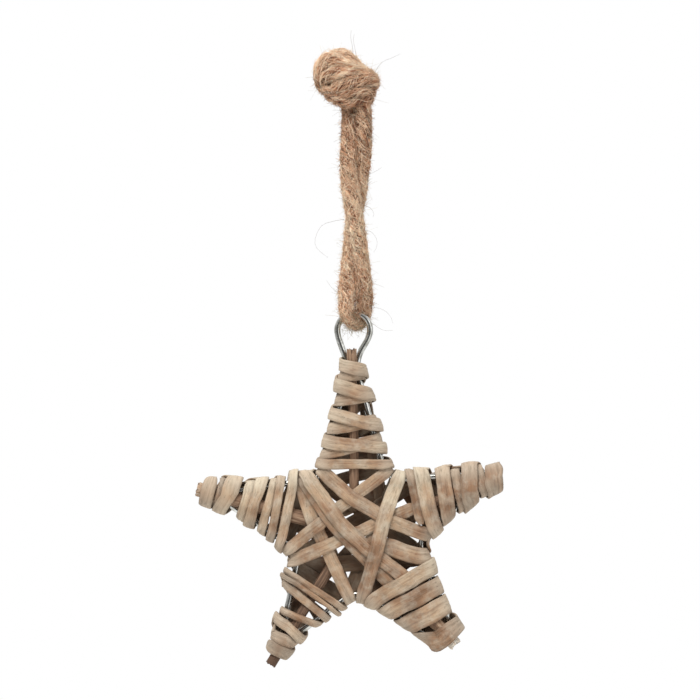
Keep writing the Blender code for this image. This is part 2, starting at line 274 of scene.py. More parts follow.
def joined(surfaces: Sequence[Surface]) -> Surface:
    """Several surfaces as one.

    Args:
        surfaces: surfaces with the same kinds of paint.

    Returns:
        The one surface.
    """
    corners = np.concatenate([s.corners for s in surfaces])
    faces: list[list[int]] = []
    start = 0
    for s in surfaces:
        faces += [[start + corner for corner in face] for face in s.faces]
        start += len(s.corners)
    names = surfaces[0].paint
    paint = {name: np.concatenate([s.paint[name] for s in surfaces]) for name in names}
    return Surface(corners, faces, np.concatenate([s.uv for s in surfaces]), paint)


def tube_grid(rings: Array, along: Array, around: Array, closed: bool = False) -> Surface:
    """The skin over a grid of rings: rings[i, k] is corner k of ring i.

    Args:
        rings: corner positions, ring by corner by xyz; a ring's corners run anticlockwise
            as seen looking on along the tube.
        along: the first pattern coordinate of each ring.
        around: the second pattern coordinate at each corner, and once more at the seam.
        closed: whether the last ring joins the first; if not, each end gets a flat cap.

    Returns:
        The closed surface, faces outwards.
    """
    count, corners = rings.shape[:2]
    i = np.arange(count if closed else count - 1)[:, None]
    k = np.arange(corners)
    near, far, beside = i * corners, (i + 1) % count * corners, (k + 1) % corners
    quads = np.stack([far + k, far + beside, near + beside, near + k], axis=-1).reshape(-1, 4)
    u, v = np.append(along, along[-1] + along[1] - along[0]), around
    pairs = (u[i + 1], v[k], u[i + 1], v[k + 1], u[i], v[k + 1], u[i], v[k])
    uv = np.stack(np.broadcast_arrays(*pairs), axis=-1).reshape(-1, 2)
    faces = quads.tolist()
    if not closed:
        faces += [k.tolist(), (k[::-1] + (count - 1) * corners).tolist()]
        first, last = (np.column_stack([np.full(corners, end), v[:-1]]) for end in (along[0], along[-1]))
        uv = np.concatenate([uv, first, last[::-1]])
    return Surface(rings.reshape(-1, 3), faces, uv)


def many_tubes(paths: Array, radii: Array, tones: Array, sides: int = 3) -> Surface:
    """Many thin closed tubes at once, such as fibres.

    Args:
        paths: tube by point by xyz.
        radii: tube by point.
        tones: one number for each tube.
        sides: corners in a ring.

    Returns:
        One surface that holds them all.
    """
    number, points = paths.shape[:2]
    ahead = unit(np.gradient(paths, axis=1))
    pick = np.where(np.abs(ahead[:, :1, 2:]) > 0.8, [[[1.0, 0.0, 0.0]]], [[[0.0, 0.0, 1.0]]])
    side = unit(np.cross(ahead, pick))
    up = np.cross(side, ahead)
    turn = np.arange(sides) * 2 * math.pi / sides
    rings = rings_round(paths, radii[..., None], turn, side, up)
    near = (np.arange(number)[:, None, None] * points + np.arange(points - 1)[:, None]) * sides
    far, k = near + sides, np.arange(sides)
    beside = (k + 1) % sides
    quads = np.stack([near + k, far + k, far + beside, near + beside], axis=-1).reshape(-1, 4)
    starts = (np.arange(number) * points * sides)[:, None] + k
    ends = starts + (points - 1) * sides
    faces = quads.tolist() + starts.tolist() + ends[:, ::-1].tolist()
    length = np.linalg.norm(np.diff(paths, axis=1), axis=2).sum(1)
    at = np.linspace(0, 1, points) * length[:, None]
    corner_uv = np.stack(np.broadcast_arrays(at[:, :, None], turn), -1).reshape(-1, 2)
    flat = np.concatenate([quads.ravel(), starts.ravel(), ends[:, ::-1].ravel()])
    paint = {"tone": np.repeat(tones, points * sides)}
    return Surface(rings.reshape(-1, 3), faces, corner_uv[flat], paint)


def put(
    name: str,
    surface: Surface,
    material: bpy.types.Material,
    stands_for: Sequence[str] = (),
) -> bpy.types.Object:
    """Makes the surface a piece that rides on the part.

    Args:
        name: the piece's name.
        surface: its shape, in the star's frame and millimetres.
        material: its finish.
        stands_for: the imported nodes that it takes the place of.

    Returns:
        The piece.
    """
    mesh = bpy.data.meshes.new(name)
    mesh.from_pydata(to_part(surface.corners).tolist(), [], surface.faces)
    layer = mesh.uv_layers.new(name="mm")
    layer.data.foreach_set("uv", surface.uv.astype(np.float32).ravel())
    for key, values in surface.paint.items():
        attribute = mesh.attributes.new(key, "FLOAT", "POINT")
        attribute.data.foreach_set("value", values.astype(np.float32).ravel())
    mesh.polygons.foreach_set("use_smooth", np.ones(len(mesh.polygons), bool))
    mesh.materials.append(material)
    mesh.update()
    piece = bpy.data.objects.new(name, mesh)
    bpy.context.scene.collection.objects.link(piece)
    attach(piece, "root")
    if stands_for:
        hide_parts(*stands_for)
    triangles = sum(len(face) - 2 for face in surface.faces)
    LOG.info("%s: %d triangles, in place of %s", name, triangles, ", ".join(stands_for) or "nothing")
    return piece


# ---------------------------------------------------------------- finishes


def linear(hex_colour: str) -> tuple[float, float, float, float]:
    """An sRGB hex colour as a linear one.

    Args:
        hex_colour: six hex digits.

    Returns:
        Its linear red, green and blue, and full alpha.
    """
    parts = [int(hex_colour[i : i + 2], 16) / 255 for i in (0, 2, 4)]
    red, green, blue = (c / 12.92 if c <= 0.04045 else ((c + 0.055) / 1.055) ** 2.4 for c in parts)
    return red, green, blue, 1.0


def plug(tree: bpy.types.NodeTree, made: Any, **inputs: Any) -> None:
    """Sets or links a node's inputs.

    Args:
        tree: the node tree.
        made: the node.
        inputs: by socket name with spaces as underscores, or i0, i1 and so on by number;
            an output socket, or a node's first one, is linked and anything else is set.
    """
    for key, value in inputs.items():
        is_number = key[0] == "i" and key[1:].isdigit()
        socket = made.inputs[int(key[1:])] if is_number else made.inputs[key.replace("_", " ")]
        if isinstance(value, bpy.types.Node):
            value = value.outputs[0]
        if isinstance(value, bpy.types.NodeSocket):
            tree.links.new(value, socket)
        else:
            socket.default_value = value


def node(tree: bpy.types.NodeTree, kind: str, settings: dict[str, Any] | None = None, **inputs: Any) -> Any:
    """Adds a node with its settings, and sets or links its inputs.

    Args:
        tree: the node tree.
        kind: the node's type, without its ShaderNode prefix.
        settings: attributes of the node; "ramp" is a colour ramp's list of place and hex.
        inputs: as for plug.

    Returns:
        The node.
    """
    made = tree.nodes.new("ShaderNode" + kind)
    for key, value in (settings or {}).items():
        if key != "ramp":
            setattr(made, key, value)
            continue
        elements = made.color_ramp.elements
        while len(elements) < len(value):
            elements.new(0.5)
        for element, (place, colour) in zip(elements, value):
            element.position = place
            element.color = linear(colour)
    plug(tree, made, **inputs)
    return made


def fresh_material(name: str) -> tuple[bpy.types.Material, bpy.types.NodeTree, Any]:
    """A new material to be worked out with nodes.

    Args:
        name: the material's name.

    Returns:
        The material, its node tree and its principled shader.
    """
    material = bpy.data.materials.new(name)
    material.use_nodes = True
    return material, material.node_tree, material.node_tree.nodes["Principled BSDF"]


ADD, MULTIPLY, MULTIPLY_ADD, MAXIMUM = (
    {"operation": name} for name in ("ADD", "MULTIPLY", "MULTIPLY_ADD", "MAXIMUM")
)
COLOURS = {"data_type": "RGBA"}
MIXED_COLOUR = 2  # the colour's place among a mix node's outputs


@dataclass(frozen=True)
class SplitWillow:
    """Split willow, soaked, bent and dried, with a thin grey limewash rubbed into it.

    The split face shows long straight grain; the wash leaves it matt, paler on the
    crowns and warm tan where it has rubbed off, and the cuts, the undersides and the
    rims of the outer face are painted darker, as shade.
    """

    name: str = "limewashed_split_willow"
    deep: str = "7b5a40"
    warm: str = "9b775a"
    tan: str = "b89a7c"
    pale: str = "d2bfa3"
    wash: str = "cfc8b6"
    dust: str = "85735f"
    # A dark brown for scars, bark and grain lines, and for painted shade.
    marks_and_shade: str = "3e2d24"
    grain_mm: float = 0.65  # the real grain is 0.1 to 0.2 mm, drawn coarser so that it shows
    grain_run_mm: float = 20.0
    patch_mm: float = 3.8
    patch_run_mm: float = 8.0
    wash_mm: float = 4.2
    dust_mm: float = 1.3
    dust_run_mm: float = 4.5
    speck_mm: float = 0.7  # scars and bits of bark, 0.3 mm on the real one, drawn larger
    speck_run_mm: float = 1.5

    def material(self) -> bpy.types.Material:
        """The finish: grain, patches, dust and wash along the strip's own millimetres.

        Returns:
            The material.
        """
        material, tree, shader = fresh_material(self.name)
        # Four noises drawn out along the strip, and one cloud that runs through all of them.
        uv = node(tree, "UVMap", {"uv_map": "mm"})
        patterns = (
            (self.grain_run_mm, self.grain_mm, 5.0, 0.65),
            (self.patch_run_mm, self.patch_mm, 3.0, 0.5),
            (self.dust_run_mm, self.dust_mm, 4.0, 0.7),
            (self.speck_run_mm, self.speck_mm, 3.0, 0.7),
        )
        made = []
        for run, across, detail, roughness in patterns:
            at = node(tree, "Mapping", i0=uv, Scale=(1 / run, 1 / across, 1))
            made.append(node(tree, "TexNoise", Vector=at, Scale=1.0, Detail=detail, Roughness=roughness))
        grain, patch, dust, speck = made
        place = node(tree, "TexCoord").outputs["Object"]
        cloud = node(tree, "TexNoise", Vector=place, Scale=1 / (self.wash_mm * MM), Detail=4.0, Roughness=0.6)
        paints = ({"attribute_name": name} for name in ("tone", "shade", "bend"))
        tone, shade, bend = (node(tree, "Attribute", paint).outputs["Fac"] for paint in paints)
        # The bare wood, from dark to pale by patch, grain and the strip's tone, which holds painted light and
        # shade as well as its own colour.
        lightness = node(tree, "Math", MULTIPLY_ADD, i0=grain, i1=0.7, i2=-0.33)
        lightness = node(tree, "Math", ADD, i0=patch, i1=lightness)
        lightness = node(tree, "Math", ADD, i0=lightness, i1=tone)
        colours = [(0.0, self.deep), (0.2, self.warm), (0.45, self.tan), (0.85, self.pale)]
        wood = node(tree, "ValToRGB", {"ramp": colours}, Fac=lightness)
        # The wash, in clouds on the faces and fuller where the strip bends.
        rubbed = node(tree, "MapRange", Value=cloud, i1=0.44, i2=0.66, i3=0.0, i4=0.42)
        turned = node(tree, "Math", MULTIPLY_ADD, i0=cloud, i1=0.6, i2=0.12)
        turned = node(tree, "Math", MULTIPLY, i0=turned, i1=bend)
        washed = node(tree, "Math", MAXIMUM, i0=rubbed, i1=turned)
        colour = node(tree, "Mix", COLOURS, i0=washed, i6=wood, i7=linear(self.wash)).outputs[MIXED_COLOUR]
        # Dust, then scars, bark and dark grain lines, and the painted shade on cuts, undersides and the outer
        # face's rims.
        dusted = node(tree, "MapRange", Value=dust, i1=0.47, i2=0.68, i3=0.0, i4=0.6)
        colour = node(tree, "Mix", COLOURS, i0=dusted, i6=colour, i7=linear(self.dust)).outputs[MIXED_COLOUR]
        lines = node(tree, "MapRange", Value=grain, i1=0.33, i2=0.44, i3=0.16, i4=0.0)
        specks = node(tree, "MapRange", Value=speck, i1=0.57, i2=0.70, i3=0.0, i4=0.45)
        marks = node(tree, "Math", MAXIMUM, i0=lines, i1=specks)
        darker = node(tree, "Math", MAXIMUM, i0=marks, i1=shade)
        colour = node(tree, "Mix", COLOURS, i0=darker, i6=colour, i7=linear(self.marks_and_shade)).outputs[MIXED_COLOUR]
        rough = node(tree, "MapRange", Value=grain, i1=0.3, i2=0.7, i3=0.85, i4=0.65)
        bump = node(tree, "Bump", Height=grain, Strength=0.6, Distance=0.18 * MM)
        rubble = node(tree, "Bump", Height=dust, Normal=bump, Strength=0.35, Distance=0.12 * MM)
        plug(tree, shader, Base_Color=colour, Roughness=rough, Normal=rubble)
        return material


@dataclass(frozen=True)
class PeeledStick:
    """A peeled willow stick, cut across with a knife: brown, fibrous and matt."""

    name: str = "peeled_willow_stick"
    dark: str = "5a4231"
    middle: str = "8d6e56"
    light: str = "b79b80"
    bleached: str = "d8cfc0"
    # A dark brown, used here only for painted shade.
    marks_and_shade: str = "33241a"
    roughness: float = 0.8
    grain_mm: float = 0.8
    grain_run_mm: float = 14.0

    def material(self) -> bpy.types.Material:
        """The finish: grain along the stick, darker where the shade paint says so, which is painted shade.

        Returns:
            The material.
        """
        material, tree, shader = fresh_material(self.name)
        uv = node(tree, "UVMap", {"uv_map": "mm"})
        at = node(tree, "Mapping", i0=uv, Scale=(1 / self.grain_run_mm, 1 / self.grain_mm, 1))
        grain = node(tree, "TexNoise", Vector=at, Scale=1.0, Detail=4.0, Roughness=0.65)
        paints = ({"attribute_name": name} for name in ("shade", "tone"))
        shade, tone = (node(tree, "Attribute", paint).outputs["Fac"] for paint in paints)
        lightness = node(tree, "Math", ADD, i0=grain, i1=tone)
        colours = [(0.3, self.dark), (0.5, self.middle), (0.7, self.light), (0.95, self.bleached)]
        wood = node(tree, "ValToRGB", {"ramp": colours}, Fac=lightness)
        colour = node(tree, "Mix", COLOURS, i0=shade, i6=wood, i7=linear(self.marks_and_shade)).outputs[MIXED_COLOUR]
        bump = node(tree, "Bump", Height=grain, Strength=0.7, Distance=0.2 * MM)
        plug(tree, shader, Base_Color=colour, Roughness=self.roughness, Normal=bump)
        return material


@dataclass(frozen=True)
class GalvanisedWire:
    """Drawn steel wire with a thin zinc coat: grey, softly bright, faintly mottled."""

    name: str = "galvanised_steel_wire"
    zinc: str = "dededa"
    dull: str = "aeada6"
    bright_roughness: float = 0.16
    dull_roughness: float = 0.28
    mottle_mm: float = 1.6

    def material(self) -> bpy.types.Material:
        """The finish: metal with slow grey mottling.

        Returns:
            The material.
        """
        material, tree, shader = fresh_material(self.name)
        place = node(tree, "TexCoord").outputs["Object"]
        mottle = node(tree, "TexNoise", Vector=place, Scale=1 / (self.mottle_mm * MM), Detail=3.0)
        colour = node(tree, "ValToRGB", {"ramp": [(0.38, self.dull), (0.62, self.zinc)]}, Fac=mottle)
        spread = {"i3": self.dull_roughness, "i4": self.bright_roughness}
        rough = node(tree, "MapRange", Value=mottle, i1=0.3, i2=0.7, **spread)
        plug(tree, shader, Base_Color=colour, Roughness=rough, Metallic=1.0)
        return material


@dataclass(frozen=True)
class TwistedJute:
    """Soft spun jute: dry matt fibres, straw to brown, with paler ones lying on top."""

    name: str = "twisted_jute"
    deep: str = "5d2d17"
    brown: str = "b87a56"
    straw: str = "efc29b"
    bright: str = "ffe9cc"
    roughness: float = 0.92
    fibre_mm: float = 0.35  # single fibres are 0.05 mm, drawn coarser so that they show
    fibre_run_mm: float = 6.0

    def material(self) -> bpy.types.Material:
        """The finish: streaks along the strand, lightness from the tone paint.

        Returns:
            The material.
        """
        material, tree, shader = fresh_material(self.name)
        uv = node(tree, "UVMap", {"uv_map": "mm"})
        at = node(tree, "Mapping", i0=uv, Scale=(1 / self.fibre_run_mm, 1 / self.fibre_mm, 1))
        streak = node(tree, "TexNoise", Vector=at, Scale=1.0, Detail=3.0, Roughness=0.6)
        tone = node(tree, "Attribute", {"attribute_name": "tone"}).outputs["Fac"]
        lightness = node(tree, "Math", MULTIPLY_ADD, i0=streak, i1=0.8, i2=-0.4)
        lightness = node(tree, "Math", ADD, i0=lightness, i1=tone)
        colours = [(0.08, self.deep), (0.36, self.brown), (0.66, self.straw), (0.95, self.bright)]
        colour = node(tree, "ValToRGB", {"ramp": colours}, Fac=lightness)
        bump = node(tree, "Bump", Height=streak, Strength=0.6, Distance=0.15 * MM)
        plug(tree, shader, Base_Color=colour, Roughness=self.roughness, Normal=bump)
        plug(tree, shader, Sheen_Weight=0.1, Sheen_Roughness=0.5)
        return material


@dataclass(frozen=True)
class StudioPaper:
    """Matt white paper for the floor, faintly uneven so that it isn't one flat value."""

    name: str = "studio_paper"
    white: str = "f4f4f2"
    shadow: str = "efefed"

    def material(self) -> bpy.types.Material:
        """The finish: plain matt paper.

        Returns:
            The material.
        """
        material, tree, shader = fresh_material(self.name)
        place = node(tree, "TexCoord").outputs["Object"]
        cloud = node(tree, "TexNoise", Vector=place, Scale=3.0)
        colour = node(tree, "ValToRGB", {"ramp": [(0.3, self.shadow), (0.7, self.white)]}, Fac=cloud)
        plug(tree, shader, Base_Color=colour, Roughness=0.95)
        return material


@dataclass
class Finishes:
    """Every finish of the ornament, each made once."""

    willow: bpy.types.Material
    stick: bpy.types.Material
    wire: bpy.types.Material
    jute: bpy.types.Material
    fuzz: bpy.types.Material

    @classmethod
    def mixed(cls) -> "Finishes":
        """All of them, ready to use.

        Returns:
            The finishes.
        """
        return cls(
            SplitWillow().material(),
            PeeledStick().material(),
            GalvanisedWire().material(),
            TwistedJute().material(),
            TwistedJute("jute_fuzz", "6f614c", "9a8b70", "c2b394", "ddd2b8").material(),
        )


# ---------------------------------------------------------------- studio


@dataclass
class Studio:
    """The camera, the light and the white floor round the ornament."""

    middle: tuple[float, float] = (-0.67, 60.3)  # what the camera faces, in the star's frame
    frame_mm: float = 233.33
    lens_mm: float = 100.0
    sensor_mm: float = 36.0
    floor_height: float = -0.58
    floor_size: float = 3.0

    def camera(self) -> None:
        """Level with the ornament's middle, square to its front."""
        distance = self.frame_mm * self.lens_mm / self.sensor_mm
        data = bpy.data.cameras.new("camera")
        data.lens = self.lens_mm
        data.sensor_width = self.sensor_mm
        data.clip_start = 0.01
        data.clip_end = 20.0
        camera = bpy.data.objects.new("camera", data)
        camera.location = to_part((self.middle[0], -distance, self.middle[1]))
        camera.rotation_euler = (math.pi / 2, 0.0, 0.0)
        bpy.context.scene.collection.objects.link(camera)
        bpy.context.scene.camera = camera

    def light(self) -> None:
        """A white tent, brighter above and behind and dim towards the camera, and two soft lamps."""
        scene = bpy.context.scene
        scene.view_settings.view_transform = "Standard"
        world = bpy.data.worlds.new("white_tent")
        scene.world = world
        world.use_nodes = True
        tree = world.node_tree
        tree.nodes.clear()
        way = node(tree, "SeparateXYZ", Vector=node(tree, "TexCoord").outputs["Generated"])
        rise = node(tree, "MapRange", Value=way.outputs["Z"], i1=-1.0, i2=1.0, i3=0.16, i4=0.68)
        eased = {"interpolation_type": "SMOOTHSTEP"}
        front = node(tree, "MapRange", eased, Value=way.outputs["Y"], i1=-0.97, i2=-0.70, i3=0.18, i4=1.0)
        behind = node(tree, "MapRange", Value=way.outputs["Y"], i1=0.0, i2=0.8, i3=1.0, i4=2.2)
        glow = node(tree, "Math", MULTIPLY, i0=rise, i1=front)
        glow = node(tree, "Math", MULTIPLY, i0=glow, i1=behind)
        white = (1.0, 1.0, 1.0, 1.0)
        tent = node(tree, "Background", Color=white, Strength=glow)
        backdrop = node(tree, "Background", Color=white, Strength=1.0)
        seen = node(tree, "LightPath").outputs["Is Camera Ray"]
        both = node(tree, "MixShader", i0=seen, i1=tent, i2=backdrop)
        node(tree, "OutputWorld", Surface=both)
        self.lamp("key", (-0.35, -0.6, 0.9), size=0.5, power=12.0)
        self.lamp("fill", (0.7, -0.6, 0.1), size=0.7, power=1.6)

    def lamp(self, name: str, place: tuple[float, float, float], size: float, power: float) -> None:
        """One square soft lamp that faces the ornament.

        Args:
            name: the lamp's name.
            place: where it stands from the ornament's middle, in metres.
            size: its side in metres.
            power: its power in watts.
        """
        data = bpy.data.lights.new(name, "AREA")
        data.shape = "SQUARE"
        data.size = size
        data.energy = power
        lamp = bpy.data.objects.new(name, data)
        middle = to_part((self.middle[0], 0.0, self.middle[1]))
        lamp.location = middle + np.array(place)
        lamp.rotation_euler = (lamp.location - Vector(middle)).to_track_quat("Z", "Y").to_euler()
        bpy.context.scene.collection.objects.link(lamp)

    def floor(self) -> None:
        """A square of white paper under the ornament, below what the camera sees."""
        half, height = self.floor_size / 2, self.floor_height
        mesh = bpy.data.meshes.new("floor")
        corners = [(-half, -half, height), (half, -half, height), (half, half, height), (-half, half, height)]
        mesh.from_pydata(corners, [], [(0, 1, 2, 3)])
        mesh.materials.append(StudioPaper().material())
        floor = bpy.data.objects.new("floor", mesh)
        bpy.context.scene.collection.objects.link(floor)


# ---------------------------------------------------------------- the form


@dataclass(frozen=True)
class Arm:
    """One arm of the flat star: its angle in degrees, its reach and its tip's half width."""

    angle: float
    reach: float
    tip_half: float


# Clockwise: top, right, lower right, lower left and left.
ARMS = (
    Arm(89.6, 54.0, 0.1),
    Arm(21.6, 47.5, 0.9),
    Arm(-48.4, 45.0, 2.8),
    Arm(-122.0, 42.6, 0.3),
    Arm(164.4, 45.5, 0.3),
)
# The notch that follows each arm, clockwise: angle in degrees, distance from the centre.
NOTCHES = ((55.8, 19.4), (-7.0, 20.9), (-85.4, 18.6), (-158.2, 17.8), (120.8, 18.9))


def rounded_corner(before: Array, corner: Array, after: Array, radius: float, steps: int) -> list[Array]:
    """Points of an arc that replaces a corner and touches both of its edges.

    Args:
        before: the point before the corner.
        corner: the corner.
        after: the point after it.
        radius: the arc's radius.
        steps: how many points come back.

    Returns:
        The arc's points, from the edge before to the edge after.
    """
    to_before, to_after = unit(before - corner), unit(after - corner)
    half = math.acos(float(np.clip(to_before @ to_after, -1, 1))) / 2
    middle = unit(to_before + to_after)
    across = unit(to_before - (to_before @ middle) * middle)
    centre = corner + middle * radius / math.sin(half)
    angles = np.linspace(math.pi / 2 - half, half - math.pi / 2, steps)
    return [centre + radius * (math.sin(a) * across - math.cos(a) * middle) for a in angles]


@dataclass
class StarForm:
    """The skin at a set distance from a flat star, on which everything is laid."""

    radius: float = 2.2
    middle_y: float = -1.0
    notch_round: float = 7.0
    notch_steps: int = 9
    arm_end: float = 8.0
    sample: float = 0.4  # between the points of a strip's line
    sweeps: int = 160  # how often a line is pulled taut
    loose_sweeps: int = 10  # the last of them, in which its stops may move too
    run_least: int = 10  # points on the shortest run between two stops
    core: Array = field(init=False)

    def __post_init__(self) -> None:
        """Works out the flat star's corners, clockwise from the top arm."""
        tips = []
        for arm in ARMS:
            out, side = direction(arm.angle), direction(arm.angle - 90)
            near, far = out * arm.reach, out * (arm.reach + self.arm_end)
            half = side * arm.tip_half
            tips.append([near - half, far - half, far + half, near + half])
        points: list[Array] = []
        for i, tip in enumerate(tips):
            angle, distance = NOTCHES[i]
            following = tips[(i + 1) % len(tips)][0]
            corner = direction(angle) * distance
            points += tip
            points += rounded_corner(tip[-1], corner, following, self.notch_round, self.notch_steps)
        self.core = np.array(points)

    def foot(self, flat: Array) -> Array:
        """The flat star's nearest point to each x, z, which is itself if it lies inside.

        The nearest of all the edges' closest points is taken, and a point counts as
        inside if a line from it towards +x crosses an odd number of edges.

        Args:
            flat: points as x, z.

        Returns:
            The nearest points.
        """
        start = self.core
        run = np.roll(start, -1, axis=0) - start
        share = np.clip(((flat[:, None] - start) * run).sum(2) / (run * run).sum(1), 0, 1)
        feet = start + share[..., None] * run
        best = ((flat[:, None] - feet) ** 2).sum(2).argmin(1)
        nearest = feet[np.arange(len(flat)), best]
        end = start + run
        z = flat[:, 1, None]
        straddles = (start[:, 1] > z) != (end[:, 1] > z)
        rise = np.where(straddles, end[:, 1] - start[:, 1], 1.0)
        crossing = start[:, 0] + (z - start[:, 1]) / rise * run[:, 0]
        inside = (straddles & (flat[:, 0, None] < crossing)).sum(1) % 2 == 1
        return np.where(inside[:, None], flat, nearest)

    def lay(self, points: Array) -> tuple[Array, Array, Array]:
        """Points brought to the form along the line from the flat star's nearest point.

        Args:
            points: any points near the form.

        Returns:
            Their places on the form, the form's normals there, and how far outside
            the form each point was.
        """
        foot = self.foot(points[:, (0, 2)])
        core = np.column_stack([foot[:, 0], np.full(len(foot), self.middle_y), foot[:, 1]])
        away = points - core
        distance = np.maximum(np.linalg.norm(away, axis=1, keepdims=True), 1e-6)
        normals = away / distance
        return core + normals * self.radius, normals, distance[:, 0] - self.radius

    def taut_line(self, first: Side, stops: Sequence[tuple]) -> tuple[Array, Array]:
        """A strip's centre line, pulled taut over the form between its stops.

        Each run starts as a straight line between two stops that bulges out to its
        side; then every point moves halfway to the middle of its neighbours and back
        to the form, again and again, with the stops held.

        Args:
            first: the side of the first run.
            stops: x, z and, if the strip doesn't turn round the outline there, the kind of stop.

        Returns:
            The line's points at even steps, and the stops' distances along it.
        """
        flat = np.array([stop[:2] for stop in stops], float)
        edge = [len(stop) == 2 for stop in stops]
        places = np.column_stack([flat[:, 0], np.full(len(flat), self.middle_y), flat[:, 1]])
        sign = first.value
        pieces, held = [], [0]
        for i in range(len(stops) - 1):
            count = self.run_least + int(np.linalg.norm(flat[i + 1] - flat[i]) / self.sample)
            turn = np.linspace(0 if edge[i] else 0.5, 1 if edge[i + 1] else 0.5, count)
            share = np.linspace(0, 1, count)
            if edge[i] or edge[i + 1]:
                share = (1 - np.cos(np.pi * turn)) / 2
                share = (share - share[0]) / (share[-1] - share[0])
            run = places[i] + share[:, None] * (places[i + 1] - places[i])
            run[:, 1] += sign * self.radius * np.maximum(np.sin(np.pi * turn), 1e-3)
            pieces.append(run if i == 0 else run[1:])
            held.append(sum(map(len, pieces)) - 1)
            if edge[i + 1]:
                sign = -sign
        line = self.lay(np.concatenate(pieces))[0]
        free = np.ones(len(line), bool)
        free[held] = False
        for left in range(self.sweeps, 0, -1):
            if left == self.loose_sweeps:
                free[1:-1] = True
            middle = (line[:-2] + line[2:]) / 2
            moved = line.copy()
            moved[1:-1] = np.where(free[1:-1, None], (line[1:-1] + middle) / 2, line[1:-1])
            line = self.lay(moved)[0]
        stops_at = arc_length(line)[held]
        return self.lay(evenly(line, self.sample))[0], stops_at


class Cover:
    """How high each place on the form is already covered, kept in small cubic cells."""

    def __init__(self, form: StarForm, cell: float = 0.32) -> None:
        """An empty map round the form.

        Args:
            form: the form that it covers.
            cell: the side of a cell.
        """
        self.form = form
        self.cell = cell
        reach = form.radius + 3 * cell
        (left, right), (bottom, top) = zip(form.core.min(0), form.core.max(0))
        self.low = np.array([left, form.middle_y, bottom]) - reach
        high = np.array([right, form.middle_y, top]) + reach
        self.height = np.zeros(np.ceil((high - self.low) / cell).astype(int) + 1, np.float32)

    def cells(self, points: Array) -> tuple[Array, Array, Array]:
        """The cell of each point."""
        x, y, z = ((points - self.low) / self.cell).astype(int).T
        return x, y, z

    def add(self, points: Array, heights: Array) -> None:
        """Raises the map to these heights at these places."""
        np.maximum.at(self.height, self.cells(points), heights)

    def under(self, points: Array) -> Array:
        """The height that is free above each point.

        Args:
            points: points on the form.

        Returns:
            The height at each, the highest of its cell and those round it.
        """
        x, y, z = self.cells(points)
        found = np.zeros(len(points))
        for right, back, up in itertools.product((-1, 0, 1), repeat=3):
            found = np.maximum(found, self.height[x + right, y + back, z + up])
        return found

    def add_rod(self, path: Array, radius: float, gap: float, corners: int = 48) -> None:
        """Covers the form where a round rod along a path stands proud of it.

        Args:
            path: the rod's middle line.
            radius: its radius.
            gap: what is left free between the rod and what lies on it.
            corners: how many places round it are taken.
        """
        ahead = unit(np.gradient(path, axis=0))
        side = unit(np.cross(ahead, (0.0, 1.0, 0.0)))
        up = np.cross(side, ahead)
        rings = rings_round(path, radius, equal_turns(corners), side, up).reshape(-1, 3)
        places, _, heights = self.form.lay(rings)
        proud = heights > -gap
        self.add(places[proud], heights[proud] + gap)


# ---------------------------------------------------------------- willow strips


